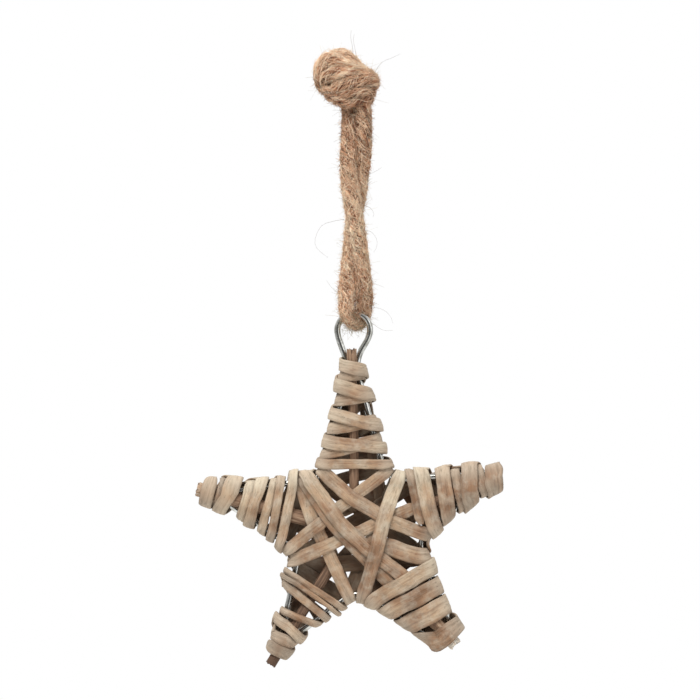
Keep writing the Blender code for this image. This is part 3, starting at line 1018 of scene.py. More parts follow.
@dataclass
class WillowStrip:
    """One split willow strip wound round the form.

    widths and tones, if given, hold one value for each stop and are read between them.
    tail, if given, holds the first and the last stop of a long end that runs along the
    back, over the strip's own turns.
    """

    name: str
    width: float
    first: Side
    stops: tuple[tuple, ...]
    thickness: float = 0.85
    tone: float = 0.0
    tones: tuple[float, ...] = ()
    widths: tuple[float, ...] = ()
    tail: tuple[int, int] | None = None
    crown: float = 0.3
    along: Array = field(init=False, repr=False)
    skin: Array = field(init=False, repr=False)
    tone_line: Array = field(init=False, repr=False)
    bend_line: Array = field(init=False, repr=False)

    GAP = 0.05  # left between one strip and the next
    CLIMB = 0.2  # how steeply a strip climbs over another on a face
    EDGE_CLIMB = 0.75  # and how much more steeply it comes down to the outline
    STEEP_FROM, STEEP_ALL = 9.5, 6.0  # the distances from a turn where that begins and is full
    BEND_FROM, BEND_ALL = 6.0, 1.5  # and those where the wash gathers on the bend
    MOST_TILT = 0.24  # rise across the strip, for each millimetre of its width
    TILT_COST = 0.9  # how much height a strip takes on rather than tilt by one
    SINK = 0.04  # how far smoothing may sink it below its need
    COLUMN = 0.28  # between the places across a strip at which the cover is read
    TAPER = 2.5  # how far from its ends a strip narrows and thins
    SHOULDER = 0.93  # the share of half the width at which the outer face rounds off
    NEXT_GRAIN = (61.0, 23.0)  # how far each strip's grain is moved on, along and across
    TOP_COUNT = 13  # corners across the outer face
    EDGE_COUNT = 3  # corners down each edge
    UNDER_COUNT = 5  # corners across the inner face

    def profile(self) -> Array:
        """The cut across the strip: share of half the width, and share of the thickness.

        The outer face is a shallow arch, the edges are round and the inner face is flat.

        Returns:
            The cut's corners.
        """
        top = np.linspace(-self.SHOULDER, self.SHOULDER, self.TOP_COUNT)
        arch = np.column_stack([top, 1 - self.crown * top**2])
        edge = 1 - self.crown * self.SHOULDER**2
        right = np.array([(0.985, edge * 0.80), (1.0, edge * 0.48), (0.985, edge * 0.16)])
        left = right[::-1] * (-1, 1)
        under = np.linspace((self.SHOULDER, 0), (-self.SHOULDER, 0), self.UNDER_COUNT)
        return np.concatenate([arch, right, under, left])

    def settled(self, free: Array, offset: Array, rise: Array) -> tuple[Array, Array]:
        """How high and how tilted the strip lies, all along.

        At each place its cut is a straight line across, at the lowest height and the
        tilt that clear what lies beneath; the height rises and falls no more steeply
        than a climb, and is then smoothed, which may sink it below its need by SINK.

        Args:
            free: the height that is free, column by place along.
            offset: each column's distance from the strip's middle line.
            rise: how far the steepest climb has risen by each place along.

        Returns:
            The height and the tilt.
        """
        before = np.maximum.accumulate(free + rise, axis=1) - rise
        after = np.maximum.accumulate((free - rise)[:, ::-1], axis=1)[:, ::-1] + rise
        need = np.maximum(before, after)
        tilts = np.linspace(-self.MOST_TILT, self.MOST_TILT, 17)
        low = (need - tilts[:, None, None] * offset).max(1)
        best = (low + self.TILT_COST * np.abs(tilts)[:, None]).argmin(0)
        tilt = blur(tilts[best], 5.0)
        need_low = (need - tilt * offset).max(0)
        height = need_low.copy()
        for _ in range(6):
            height = np.maximum(need_low, blur(height, 2.0))
        return np.maximum(need_low - self.SINK, blur(height, 1.2)), tilt

    def lay_on(self, form: StarForm, cover: Cover, rng: np.random.Generator) -> None:
        """Works out the strip's skin over what is already there, and covers the form with it.

        A tail is laid a second time, over the strip's own turns.

        Args:
            form: what it is laid on.
            cover: how high the form is covered so far.
            rng: the seeded generator.
        """
        line, stops_at = form.taut_line(self.first, self.stops)
        self.along = along = np.arange(len(line)) * form.sample
        _, normals, _ = form.lay(line)
        across = unit(np.cross(normals, np.gradient(line, axis=0)))
        half = np.interp(along, stops_at, self.widths or (self.width,) * len(self.stops)) / 2
        ends = smoothstep(0, self.TAPER, np.minimum(along, along[-1] - along))
        half = [half * (1 + 0.05 * wander(rng, along, 9.0) + 0.025 * wander(rng, along, 2.0)) for _ in (0, 1)]
        edges = [edge * (0.55 + 0.45 * ends) for edge in half]

        columns = np.linspace(-1, 1, int(self.width / self.COLUMN) + 2)
        offset = np.where(columns[:, None] < 0, *edges) * columns[:, None]
        places = form.lay((line + offset[..., None] * across).reshape(-1, 3))[0]
        free = cover.under(places).reshape(offset.shape)
        turns_at = stops_at[[i for i, stop in enumerate(self.stops) if len(stop) == 2]]
        from_turn = np.abs(along[:, None] - turns_at).min(1)
        slope = self.CLIMB + self.EDGE_CLIMB * smoothstep(self.STEEP_FROM, self.STEEP_ALL, from_turn)
        rise = np.cumsum(slope) * form.sample
        height, tilt = self.settled(free, offset, rise)
        crest = 1 - self.crown * columns**2
        if self.tail:
            start, end = stops_at[list(self.tail)]
            tail = (along >= start) & (along <= end)
            own = Cover(form)
            covered = height + tilt * offset + self.thickness * crest[:, None] + self.GAP
            own.add(places.reshape(*offset.shape, 3)[:, ~tail].reshape(-1, 3), covered[:, ~tail].ravel())
            over = own.under(places).reshape(offset.shape)
            free[:, tail] = np.maximum(free, over)[:, tail]
            height, tilt = self.settled(free, offset, rise)

        shape = self.profile()
        thick = self.thickness * (1 + 0.08 * wander(rng, along, 14.0)) * (0.45 + 0.55 * ends)
        u = np.where(shape[:, 0] < 0, edges[0][:, None], edges[1][:, None]) * shape[:, 0]
        lift = height[:, None] + tilt[:, None] * u
        ridges = np.stack([wander(rng, along, 16.0) for _ in range(self.TOP_COUNT)], axis=1)
        ridges = 0.6 * ridges + 0.4 * np.roll(ridges, 1, axis=1)
        top = thick[:, None] * shape[:, 1]
        top[:, : self.TOP_COUNT] += 0.045 * ridges
        base = (line[:, None] + u[..., None] * across[:, None]).reshape(-1, 3)
        spot, up, _ = form.lay(base)
        self.skin = (spot + up * (lift + top).reshape(-1, 1)).reshape(len(along), len(shape), 3)
        covered = height + tilt * offset + thick * crest[:, None] + self.GAP
        cover.add(places, covered.ravel())
        # The tone is partly the strip's own colour and partly painted light and shade: in the main paler
        # higher up, darker lower down.
        tones = self.tones or (self.tone,) * len(self.stops)
        self.tone_line = np.interp(along, stops_at, tones) + 0.08 * wander(rng, along, 7.0)
        self.bend_line = smoothstep(self.BEND_FROM, self.BEND_ALL, from_turn)

    def surface(self, index: int) -> Surface:
        """The strip's closed skin, with its tone and its shade painted on.

        Shade is deepest on the inner face, less on the cut edges, and fades out from
        them within a tenth of the outer face.

        Args:
            index: the strip's number, which moves its grain away from the others'.

        Returns:
            The surface.
        """
        shape = self.profile()
        outline = np.vstack([shape, shape[:1]]) * (self.width / 2, self.thickness)
        on, across = index * np.array(self.NEXT_GRAIN)
        made = tube_grid(self.skin, self.along + on, arc_length(outline) + across)
        # Painted shade: faint on the rims of the outer face, more on the cut edges and most on the inner
        # face.
        top = 0.16 * np.abs(np.linspace(-1, 1, self.TOP_COUNT)) ** 6
        edge, under = np.full(self.EDGE_COUNT, 0.22), np.full(self.UNDER_COUNT, 0.45)
        shade = np.concatenate([top, edge, under, edge])
        made.paint["shade"] = np.broadcast_to(shade, self.skin.shape[:2]).ravel()
        made.paint["tone"] = np.repeat(self.tone_line, len(shape))
        made.paint["bend"] = np.repeat(self.bend_line, len(shape))
        return made


# The tones at the stops are partly each strip's own colour and partly painted light and shade: in the main
# paler on the higher parts of a strip and of the star, darker on the lower ones and on the strips that lie at
# the back.
STRIPS = (
    WillowStrip(
        "centre_strip_6", 4.4, Side.FRONT,
        ((-17.8, 18.2), (-13.0, 3.6, GUIDE), (-0.2, -23.6), (-20.5, -11.0, TUCKED)),
        tones=(-0.05, -0.15, -0.2, -0.3),
    ),
    WillowStrip(
        "centre_strip_8", 5.8, Side.FRONT,
        ((3.5, -3.8, TUCKED), (12.0, -5.0, GUIDE), (24.2, -9.0), (-19.5, -12.5, TUCKED)), tone=-0.25,
    ),
    WillowStrip(
        "centre_strip_4", 4.5, Side.BACK,
        ((20.0, 15.0, TUCKED), (-20.8, -10.2), (21.5, 8.6, TUCKED)), tone=-0.2,
    ),
    WillowStrip(
        "centre_strip_5", 4.2, Side.BACK,
        ((-15.5, 16.0, TUCKED), (-22.2, -6.4), (-3.3, 8.7, GUIDE), (12.8, 21.0), (-15.0, 14.4, TUCKED)),
        tone=-0.15,
    ),
    WillowStrip(
        "centre_strip_7", 4.5, Side.BACK,
        ((-2.0, -20.5, TUCKED), (-17.2, 18.6), (-5.2, 1.2, GUIDE), (17.0, -21.5, TUCKED)), tone=-0.35,
    ),
    WillowStrip(
        "centre_strip_2", 4.8, Side.FRONT,
        ((-12.6, 22.2), (-0.2, 11.2, GUIDE), (14.0, 3.0, GUIDE), (28.6, -2.8), (2.5, -22.0, TUCKED)),
        tones=(0.0, -0.2, -0.2, -0.3, -0.3),
    ),
    WillowStrip(
        "centre_strip_1", 4.8, Side.BACK,
        ((22.0, -7.0, TUCKED), (-16.2, 20.4), (-4.2, 3.4, GUIDE), (5.2, -5.4, GUIDE), (21.5, -18.0, TUCKED)),
        tones=(-0.1, 0.05, -0.3, -0.35, -0.3),
    ),
    WillowStrip(
        "centre_strip_3", 4.8, Side.BACK,
        ((-1.0, -21.5, TUCKED), (16.4, 21.0), (12.2, 9.5, GUIDE), (11.2, 6.0, GUIDE), (3.0, -24.0),
         (21.5, 8.0, TUCKED)),
        tones=(-0.1, 0.35, 0.35, -0.2, -0.35, -0.2),
    ),
    WillowStrip(
        "top_strip_under", 4.1, Side.BACK,
        ((10.5, 5.5, TUCKED), (4.2, 42.0, GUIDE), (-4.0, 51.2), (5.2, 52.8), (-5.4, 43.2), (6.3, 45.4),
         (-7.8, 34.0), (8.5, 36.8), (-10.7, 25.2), (9.9, 31.0), (0.0, 27.0, TUCKED)),
        tone=-0.2, tail=(0, 2),
    ),
    WillowStrip(
        "top_strip_over", 4.3, Side.BACK,
        ((1.2, 56.8, TUCKED), (-3.4, 55.4), (5.1, 53.3), (-4.9, 48.5), (6.0, 44.9), (-6.6, 39.2),
         (8.8, 35.0), (-9.3, 30.0), (10.9, 27.6), (-12.0, 22.3), (14.0, 22.4), (3.0, 24.0, TUCKED)),
        widths=(4.3, 4.3, 4.3, 4.5, 4.3, 4.4, 4.4, 4.4, 4.2, 3.4, 3.4, 3.4),
        tones=(-0.1, -0.1, -0.15, -0.1, -0.2, -0.05, -0.2, -0.05, -0.2, -0.2, -0.3, -0.3),
    ),
    WillowStrip(
        "right_strip_under", 3.4, Side.BACK,
        ((-5.0, 5.8, TUCKED), (7.0, 11.4, GUIDE), (41.8, 21.0), (43.6, 12.8), (34.0, 20.6), (36.6, 7.4),
         (19.0, 20.0), (23.0, 2.5, TUCKED)),
        widths=(5.0, 4.4, 3.4, 3.4, 3.4, 3.4, 3.4, 3.4), tone=-0.3, tail=(0, 2),
    ),
    WillowStrip(
        "right_strip_over", 5.2, Side.FRONT,
        ((47.4, 23.6), (46.8, 12.8), (39.0, 21.8), (38.6, 8.0), (29.8, 21.2), (32.2, 2.4),
         (22.8, 20.9), (27.0, 0.6), (17.0, 15.5, TUCKED)),
        widths=(5.8, 5.8, 5.3, 5.3, 5.2, 5.2, 5.0, 5.0, 5.0),
        tones=(-0.32, -0.4, -0.25, -0.45, -0.1, -0.4, 0.05, -0.3, -0.35),
    ),
    WillowStrip(
        "left_strip_under", 3.4, Side.BACK,
        ((-8.0, -3.2, TUCKED), (-19.5, 1.8, GUIDE), (-43.0, 16.8), (-45.0, 8.0), (-33.2, 17.2),
         (-36.6, 4.2), (-25.6, 17.2), (-30.2, -0.8), (-22.0, 4.0, TUCKED)),
        widths=(4.2, 4.0, 2.4, 2.4, 3.2, 3.4, 2.8, 2.8, 3.2),
        tones=(-0.3, -0.3, -0.35, -0.35, 0.15, -0.1, 0.0, -0.15, -0.2), tail=(0, 2),
    ),
    WillowStrip(
        "left_strip_over", 3.8, Side.FRONT,
        ((-46.6, 16.6), (-48.6, 9.8), (-37.7, 17.0), (-44.0, 6.8), (-29.2, 17.4), (-32.4, 9.6, GUIDE),
         (-34.0, 1.8), (-23.2, 17.8), (-27.0, -2.8), (-19.0, 18.6), (-23.8, -5.0), (-19.0, 5.0, TUCKED)),
        widths=(4.7, 4.4, 4.5, 4.5, 4.0, 3.4, 3.6, 2.7, 2.9, 3.2, 3.3, 3.6),
        tones=(-0.15, -0.25, 0.15, -0.15, 0.15, 0.0, -0.25, -0.05, -0.25, 0.15, -0.2, -0.3),
    ),
    WillowStrip(
        "lower_left_strip_under", 3.0, Side.BACK,
        ((2.5, -2.6, TUCKED), (-26.2, -34.2), (-18.9, -36.8), (-24.4, -25.8), (-10.4, -31.2), (-21.6, -13.0),
         (-2.8, -25.3), (-12.0, -20.0, TUCKED)),
        widths=(3.6, 4.6, 4.6, 2.5, 2.5, 2.3, 2.4, 2.6),
        tones=(-0.3, -0.35, -0.3, -0.4, -0.3, -0.4, -0.25, -0.3), tail=(0, 1),
    ),
    WillowStrip(
        "lower_left_strip_over", 3.2, Side.FRONT,
        ((-27.0, -38.4), (-20.2, -40.8), (-24.8, -28.0), (-15.4, -37.0), (-21.8, -14.6), (-4.8, -26.6),
         (-22.5, -17.2), (-8.0, -28.9), (-15.0, -24.0, TUCKED)),
        widths=(4.2, 4.2, 3.2, 3.4, 1.6, 1.5, 2.9, 2.7, 3.0),
        tones=(-0.4, -0.35, -0.3, -0.15, -0.4, -0.35, -0.35, -0.25, -0.3),
    ),
    WillowStrip(
        "lower_right_strip", 5.5, Side.FRONT,
        ((6.8, -22.6), (27.2, -11.2), (10.2, -27.4), (28.8, -17.6), (16.2, -32.0), (32.4, -23.4),
         (22.0, -35.2), (28.4, -36.0, GUIDE), (34.6, -30.8), (25.5, -31.0, GUIDE), (3.0, -7.0, TUCKED)),
        widths=(5.2, 5.4, 5.6, 6.0, 6.6, 6.4, 6.2, 7.0, 6.0, 6.4, 5.0),
        tones=(-0.3, 0.05, -0.35, -0.05, -0.4, -0.05, -0.35, -0.4, -0.25, -0.45, -0.4), tail=(8, 10),
    ),
)


@dataclass
class Binding:
    """All the willow strips, laid one after another over the wire and the sticks."""

    form: StarForm
    cover: Cover
    strips: Sequence[WillowStrip] = STRIPS
    seed: int = 11

    def build(self, finishes: Finishes) -> None:
        """Lays every strip in order, then makes each a piece.

        Args:
            finishes: the ornament's finishes.
        """
        rng = np.random.default_rng(self.seed)
        for strip in self.strips:
            strip.lay_on(self.form, self.cover, rng)
        for index, strip in enumerate(self.strips):
            surface = strip.surface(index)
            put(strip.name + "_willow", surface, finishes.willow, [strip.name])


# ---------------------------------------------------------------- wire and sticks


@dataclass
class WireFrame:
    """The steel wire bent to the star's outline, with the eye at the top."""

    form: StarForm
    radius: float = 1.05
    out: float = 1.0
    notch_steps: int = 5
    tip_steps: int = 5
    eye_centre: tuple[float, float] = (0.55, 67.0)
    eye_radius: float = 5.7
    neck_half: float = 2.45
    neck_shift: float = -0.7
    neck_z: float = 59.0
    sides: int = 20
    step: float = 0.5

    def tip_turn(self, arm: Arm) -> list[Array]:
        """The half circle in which the wire turns round an arm's tip.

        Args:
            arm: the arm.

        Returns:
            Its points as x, z.
        """
        out, side = direction(arm.angle), direction(arm.angle - 90)
        turns = np.radians(np.linspace(-90, 90, self.tip_steps))
        reach = arm.tip_half + self.out
        return [out * arm.reach + reach * (math.cos(a) * out + math.sin(a) * side) for a in turns]

    def line(self) -> Array:
        """The wire's closed centre line: round the star, up one leg, round the eye, down.

        Returns:
            Its corners, before they are smoothed.
        """
        feet = []
        for arm in ARMS:
            tip = direction(arm.angle) * arm.reach
            side = direction(arm.angle - 90) * (arm.tip_half + self.out)
            feet.append((tip - side, tip + side))
        flat: list[Array] = []
        for i, (angle, distance) in enumerate(NOTCHES):
            following = (i + 1) % len(ARMS)
            corner = direction(angle) * (distance + self.out)
            bend = self.form.notch_round - self.out
            flat += rounded_corner(feet[i][1], corner, feet[following][0], bend, self.notch_steps)
            if following:
                flat += self.tip_turn(ARMS[following])
        neck = np.array([self.eye_centre[0] + self.neck_shift, self.neck_z])
        turns = np.linspace(205, -25, 16)
        eye = [np.array(self.eye_centre) + self.eye_radius * direction(a) for a in turns]
        leg = (self.neck_half, 0.0)
        flat += [feet[0][0], neck - leg, *eye, neck + leg, feet[0][1]]
        points = np.array(flat)
        return np.column_stack([points[:, 0], np.zeros(len(points)), points[:, 1]])

    def build(self, cover: Cover, finishes: Finishes) -> None:
        """Smooths the line, sweeps a circle along it and covers the form with it.

        Args:
            cover: the form's cover, raised by the wire.
            finishes: the ornament's finishes.
        """
        route = self.line()
        dense = evenly(np.vstack([route, route[:1]]), 1.6)[:-1]
        for _ in range(2):
            dense = (np.roll(dense, 1, axis=0) + 2 * dense + np.roll(dense, -1, axis=0)) / 4
        path = curve_through(dense, self.step, closed=True)[:-1]
        cover.add_rod(path, self.radius, WillowStrip.GAP)
        ahead = unit(np.roll(path, -1, axis=0) - np.roll(path, 1, axis=0))
        side = unit(np.cross(ahead, (0.0, 1.0, 0.0)))
        up = np.cross(side, ahead)
        rings = rings_round(path, self.radius, equal_turns(self.sides), side, up)
        around = np.linspace(0, TURN * self.radius, self.sides + 1)
        surface = tube_grid(rings, np.arange(len(path)) * self.step, around, closed=True)
        put("wire_frame_bent", surface, finishes.wire, ["wire_frame"])


@dataclass
class Stick:
    """One peeled stick along an arm, from its cut outer end to its inner end."""

    arm: str
    radius: float
    outer: tuple[float, float, float]
    inner: tuple[float, float, float]
    ragged: float = 0.5
    tone: float = 0.0
    shaded_inner_tone: float = -0.12

    STEP = 0.5  # between rings
    CORNERS = 28
    SPLINTER = 2.5  # how far from an end the corners are drawn back
    HOLLOW = ((0.86, 0.15), (0.55, 0.5), (0.2, 0.6))  # share and depth of the rings that close an end

    def build(self, cover: Cover, finishes: Finishes, rng: np.random.Generator) -> None:
        """A slightly lumpy rod whose ends are splintered and closed inwards.

        Ring i, corner k stands at the line point plus the radius times one, plus a slow
        waver along and a few ridges round; near the ends the corners are drawn back by
        different amounts, and the last rings close to a hollow.

        Args:
            cover: the form's cover, raised by the rod.
            finishes: the ornament's finishes.
            rng: the seeded generator.
        """
        start, end = np.array(self.outer), np.array(self.inner)
        cover.add_rod(np.linspace(start, end, 160), self.radius, WillowStrip.GAP)
        path = evenly(np.array([start, end]), self.STEP)
        ahead, side, up = carried_frames(path)
        turn = equal_turns(self.CORNERS)
        along = np.arange(len(path)) * self.STEP
        waver = sum(
            0.035 / order * np.cos(order * turn + 0.05 * along[:, None] * order + rng.uniform(0, 6))
            for order in (2, 3, 5, 9)
        )
        radius = self.radius * (0.97 + waver + 0.02 * wander(rng, along, 6.0)[:, None])
        rings = rings_round(path, radius, turn, side, up)
        draw = self.ragged * np.abs(rng.normal(0, 1, self.CORNERS))
        pull = smoothstep(self.SPLINTER, 0, along) - smoothstep(self.SPLINTER, 0, along[-1] - along)
        rings += draw[:, None] * pull[:, None, None] * ahead[:, None]
        first, last = (
            [centre + (ring - centre) * share + way * depth for share, depth in self.HOLLOW]
            for ring, way, centre in ((rings[0], ahead[0], path[0]), (rings[-1], -ahead[-1], path[-1]))
        )
        rings = np.concatenate([first[::-1], rings, last])
        closing = len(self.HOLLOW)
        places = np.arange(-closing, len(path) + closing) * self.STEP
        around = np.linspace(0, TURN * self.radius, self.CORNERS + 1)
        surface = tube_grid(rings, places + 40.0, around)
        shade = np.zeros(rings.shape[:2])
        # Painted shade: the rings that close each end into a hollow are darkened.
        shade[:closing] = shade[-closing:] = 0.6
        surface.paint["shade"] = shade.ravel()
        # Painted shade: inside the binding the stick turns to its darker, shaded inner tone.
        inward = smoothstep(3.0, 12.0, places)[:, None]
        tone = self.tone + (self.shaded_inner_tone - self.tone) * inward
        surface.paint["tone"] = np.broadcast_to(tone, shade.shape).ravel()
        put(f"stick_{self.arm}_peeled", surface, finishes.stick, [f"stick_{self.arm}"])


STICKS = (
    Stick("top", 1.7, (-0.15, -2.75, 61.0), (0.8, -1.2, 11.5), 0.9, tone=0.04, shaded_inner_tone=-0.04),
    Stick("right", 1.9, (49.8, -3.8, 17.5), (11.4, -1.2, 4.2)),
    Stick("lower_right", 2.3, (34.6, -3.9, -37.7), (8.7, -1.2, -9.3), tone=0.4, shaded_inner_tone=-0.05),
    Stick("lower_left", 1.8, (-27.2, -3.4, -44.2), (-6.4, -1.2, -10.6), tone=-0.3, shaded_inner_tone=-0.16),
    Stick("left", 2.45, (-51.6, -4.2, 14.4), (-12.0, -1.2, 3.2), tone=0.2, shaded_inner_tone=0.0),
)


# ---------------------------------------------------------------- jute cord


@dataclass(frozen=True)
class Lay:
    """How fibres lie on a strand, in millimetres and radians.

    They have radii and lengths between two values; a usual one strays that far round
    from the spinning, and stands off that far at its ends.
    """

    thick: tuple[float, float]
    length: tuple[float, float]
    stray: float
    lift: float


LOCKS = Lay((0.10, 0.19), (2.0, 6.0), 0.5, 0.12)
FIBRES = Lay((0.05, 0.13), (1.5, 6.0), 1.5, 0.65)
CROSSING_LOCKS = Lay((0.10, 0.18), (2.0, 6.0), 0.9, 0.12)
CROSSING_FIBRES = Lay((0.05, 0.12), (1.5, 6.0), 1.6, 0.5)
KNOT_FIBRES = Lay((0.05, 0.11), (2.5, 7.5), 1.0, 0.6)


@dataclass
class JuteStrand:
    """One soft spun strand along a path, with its fibres.

    girth_at holds pairs of a distance along and a share of the radius, read between.
    """

    path: Array
    radius: float
    seed: int
    pitch: float = 34.0  # how far along one turn of the spinning runs
    girth_at: tuple[tuple[float, float], ...] = ((0.0, 1.0),)
    corners: int = 48
    step: float = 0.4
    curl: float = 0.13  # how far round, in radians, a usual lying fibre curls
    tone: float = 0.54

    SINK = 0.25  # how far the skin's mean lies inside the girth
    RELIEF = 0.85  # how much of the relief the skin shows
    ORDERS = (2, 3, 4, 5, 7, 9, 11, 14, 17, 19)  # ridges round the strand, of falling size
    # By height: how much the jute's tone is raised or lowered; it paints the knot paler on top and darker
    # below, as light and shade.
    SHADE_AT = ((66.0, -0.05), (82.0, 0.0), (100.0, 0.2), (110.0, 0.14), (124.0, -0.06), (138.0, -0.13),
                (144.0, -0.1), (149.0, 0.0), (155.0, 0.16), (161.0, 0.22))

    def __post_init__(self) -> None:
        """Reads the path at even steps, carries its frames along and works out the relief."""
        self.path = evenly(self.path, self.step)
        self.ahead, self.side, self.up = carried_frames(self.path)
        self.along = np.arange(len(self.path)) * self.step
        self.rng = np.random.default_rng(self.seed)
        share = np.interp(self.along, *np.array(self.girth_at).T)
        self.girth = self.radius * share * (1 + 0.05 * wander(self.rng, self.along, 7.0))
        self.relief = self.ridges()

    def ridges(self) -> Array:
        """How far the skin stands out, for each ring and corner.

        It is a sum of cosines round the strand, of orders 2 to 19 and falling sizes;
        each is turned by the spinning and drifts along the strand, so that ridges
        merge and part as bundles of fibre do.

        Returns:
            The relief, ring by corner.
        """
        spun = equal_turns(self.corners) - TURN / self.pitch * self.along[:, None]
        relief = np.zeros((len(self.along), self.corners))
        for order in self.ORDERS:
            size = 0.26 / order**0.5
            drift = 2.2 * wander(self.rng, self.along, 3.5) + self.rng.uniform(0, 6.3)
            swell = 0.5 + 0.7 * wander(self.rng, self.along, 2.0)
            relief += (size * swell)[:, None] * np.cos(order * spun + drift[:, None])
        return relief

    def count(self, each_mm: float) -> int:
        """How many there are on the whole strand, at that many for each millimetre."""
        return int(each_mm * self.along[-1])

    def relief_at(self, along: Array, angle: Array) -> Array:
        """The relief at places on the strand.

        Args:
            along: distances along the strand.
            angle: angles round it, in the same shape.

        Returns:
            The relief at each, from the nearest ring and corner.
        """
        ring = np.clip(along / self.step, 0, len(self.along) - 1).astype(int)
        corner = (angle / TURN * self.corners).astype(int) % self.corners
        return self.relief[ring, corner]

    def shade(self, places: Array) -> Array:
        """How much paler the jute is painted at the places, by their height, partly as light and shade."""
        return np.interp(places[..., 2], *np.array(self.SHADE_AT).T)

    def surface(self) -> Surface:
        """The strand's skin: the girth plus the relief, with its ridges painted pale and its hollows painted
        dark, as light and shade.

        Returns:
            The skin, with its tone painted on.
        """
        radius = (self.girth - self.SINK)[:, None] + self.RELIEF * self.relief
        radius[[0, -1]] *= 0.6
        rings = rings_round(self.path, radius, equal_turns(self.corners), self.side, self.up)
        around = np.linspace(0, TURN * self.radius, self.corners + 1)
        made = tube_grid(rings, self.along + 31.0 * self.seed, around)
        # Painted light and shade: paler on the ridges, darker in the hollows, and by height as shade() gives
        # it.
        made.paint["tone"] = (self.tone - 0.36 + 1.5 * self.relief + self.shade(rings)).ravel()
        return made

    def at(self, along: Array, angle: Array, out: Array) -> Array:
        """Places on or off the strand.

        Args:
            along: distances along the strand.
            angle: angles round it.
            out: distances outside the girth; all three have one shape.

        Returns:
            The places.
        """
        flat = np.clip(along, 0, self.along[-1]).ravel()
        centre, side, up = (read_at(flat, self.along, part) for part in (self.path, self.side, self.up))
        c, s = np.cos(angle).ravel(), np.sin(angle).ravel()
        r = np.interp(flat, self.along, self.girth) + out.ravel()
        spot = centre + (r * c)[:, None] * side + (r * s)[:, None] * up
        return spot.reshape(*along.shape, 3)

    def lying_fibres(self, count: int, lay: Lay) -> Surface:
        """Fibres that lie on the strand.

        Each runs along the strand and round it with the spinning, strays to one side,
        curls by two sines along itself, and lifts off by a cube at its ends.

        Args:
            count: how many there are.
            lay: how they lie.

        Returns:
            All of them.
        """
        rng = self.rng
        share = np.linspace(-1, 1, 6)[None]
        reach = rng.uniform(*lay.length, count)[:, None]
        middle = rng.uniform(0, self.along[-1], count)[:, None]
        curl = self.curl * sum(
            rng.normal(0, size, count)[:, None]
            * np.sin(share * rng.uniform(1.5, 5, count)[:, None] + rng.uniform(0, 6, count)[:, None])
            for size in (1.0, 0.7)
        )
        along = middle + 0.5 * reach * share + 1.6 * np.roll(curl, 1, axis=0)
        angle = rng.uniform(0, TURN, count)[:, None] + TURN / self.pitch * along
        angle += rng.normal(0, lay.stray, count)[:, None] * reach / 8.0 * share + curl
        ends = np.abs(rng.normal(0, lay.lift, (count, 2)))
        stand = ends[:, :1] * np.clip(-share, 0, 1) ** 3 + ends[:, 1:] * np.clip(share, 0, 1) ** 3
        out = rng.normal(-0.04, 0.08, count)[:, None] + 0.6 * self.relief_at(along, angle) + stand
        radii = rng.uniform(*lay.thick, count)[:, None] * (1 - 0.75 * share**4)
        paths = self.at(along, angle, out)
        # Painted shade: fibres over the skin's hollows are darker, those on its ridges paler.
        hollow = self.relief_at(middle[:, 0], angle[:, angle.shape[1] // 2])
        tone = rng.normal(self.tone + 0.16, 0.22, count) + 0.9 * hollow + self.shade(paths).mean(1)
        return many_tubes(paths, radii, tone)

    def flyaways(self, count: int, longest: float = 3.2) -> Surface:
        """Short fibres that stand off the strand.

        A fibre is the root plus its length times a slanted line, plus a bend that grows
        with the square of the way along and a curl that grows with its cube.

        Args:
            count: how many there are.
            longest: the length of the longest.

        Returns:
            All of them.
        """
        rng = self.rng
        share = np.linspace(0, 1, 4)[None, :, None]
        along = rng.uniform(0, self.along[-1], count)
        angle = rng.uniform(0, TURN, count)
        root = self.at(along, angle, np.full(count, -0.15))
        tip = self.at(along, angle, np.full(count, 1.0))
        out = unit(tip - root)
        here = np.clip(np.searchsorted(self.along, along), 0, len(self.along) - 1)
        slant = rng.normal(0, 1.3, count)[:, None] * self.ahead[here]
        way = unit(out + slant + 0.5 * rng.normal(0, 1, (count, 3)))
        length = (0.4 + longest * rng.uniform(0, 1, count) ** 4)[:, None, None]
        bend = 0.6 * rng.normal(0, 1, (count, 1, 3))
        curl = 0.5 * rng.normal(0, 1, (count, 1, 3))
        paths = root[:, None] + length * (way[:, None] * share + bend * share**2 + curl * share**3)
        thick = rng.uniform(0.035, 0.07, count)[:, None] * (1 - 0.6 * share[..., 0])
        tone = rng.normal(self.tone + 0.06, 0.15, count) + self.shade(root)
        return many_tubes(paths, thick, tone)


CORD_ROUTE = (
    (-0.0018, 0.0014, 0.0003), (-0.0021, 0.0007, -0.0050), (-0.0022, -0.0001, -0.0110),
    (-0.0022, -0.0010, -0.0170), (-0.0019, -0.0018, -0.0230), (-0.0012, -0.0023, -0.0290),
    (-0.0002, -0.0025, -0.0350), (0.0009, -0.0023, -0.0410), (0.0018, -0.0018, -0.0470),
    (0.0024, -0.0009, -0.0530), (0.0029, 0.0003, -0.0585), (0.0031, 0.0020, -0.0630),
    (0.0029, 0.0034, -0.0668), (0.0019, 0.0031, -0.0699), (-0.0001, 0.0000, -0.0711),
    (-0.0021, -0.0031, -0.0699), (-0.0031, -0.0034, -0.0668), (-0.0029, -0.0022, -0.0630),
    (-0.0025, -0.0004, -0.0585), (-0.0021, 0.0009, -0.0530), (-0.0017, 0.0018, -0.0470),
    (-0.0011, 0.0024, -0.0410), (-0.0002, 0.0026, -0.0350), (0.0008, 0.0024, -0.0290),
    (0.0017, 0.0018, -0.0230), (0.0024, 0.0010, -0.0170), (0.0028, 0.0001, -0.0110),
    (0.0029, -0.0007, -0.0050), (0.0027, -0.0014, 0.0003),
)

EVEN = ((0.0, 1.0),)
NECK = ((0.0, 0.8), (3.5, 1.02), (12.0, 1.0))
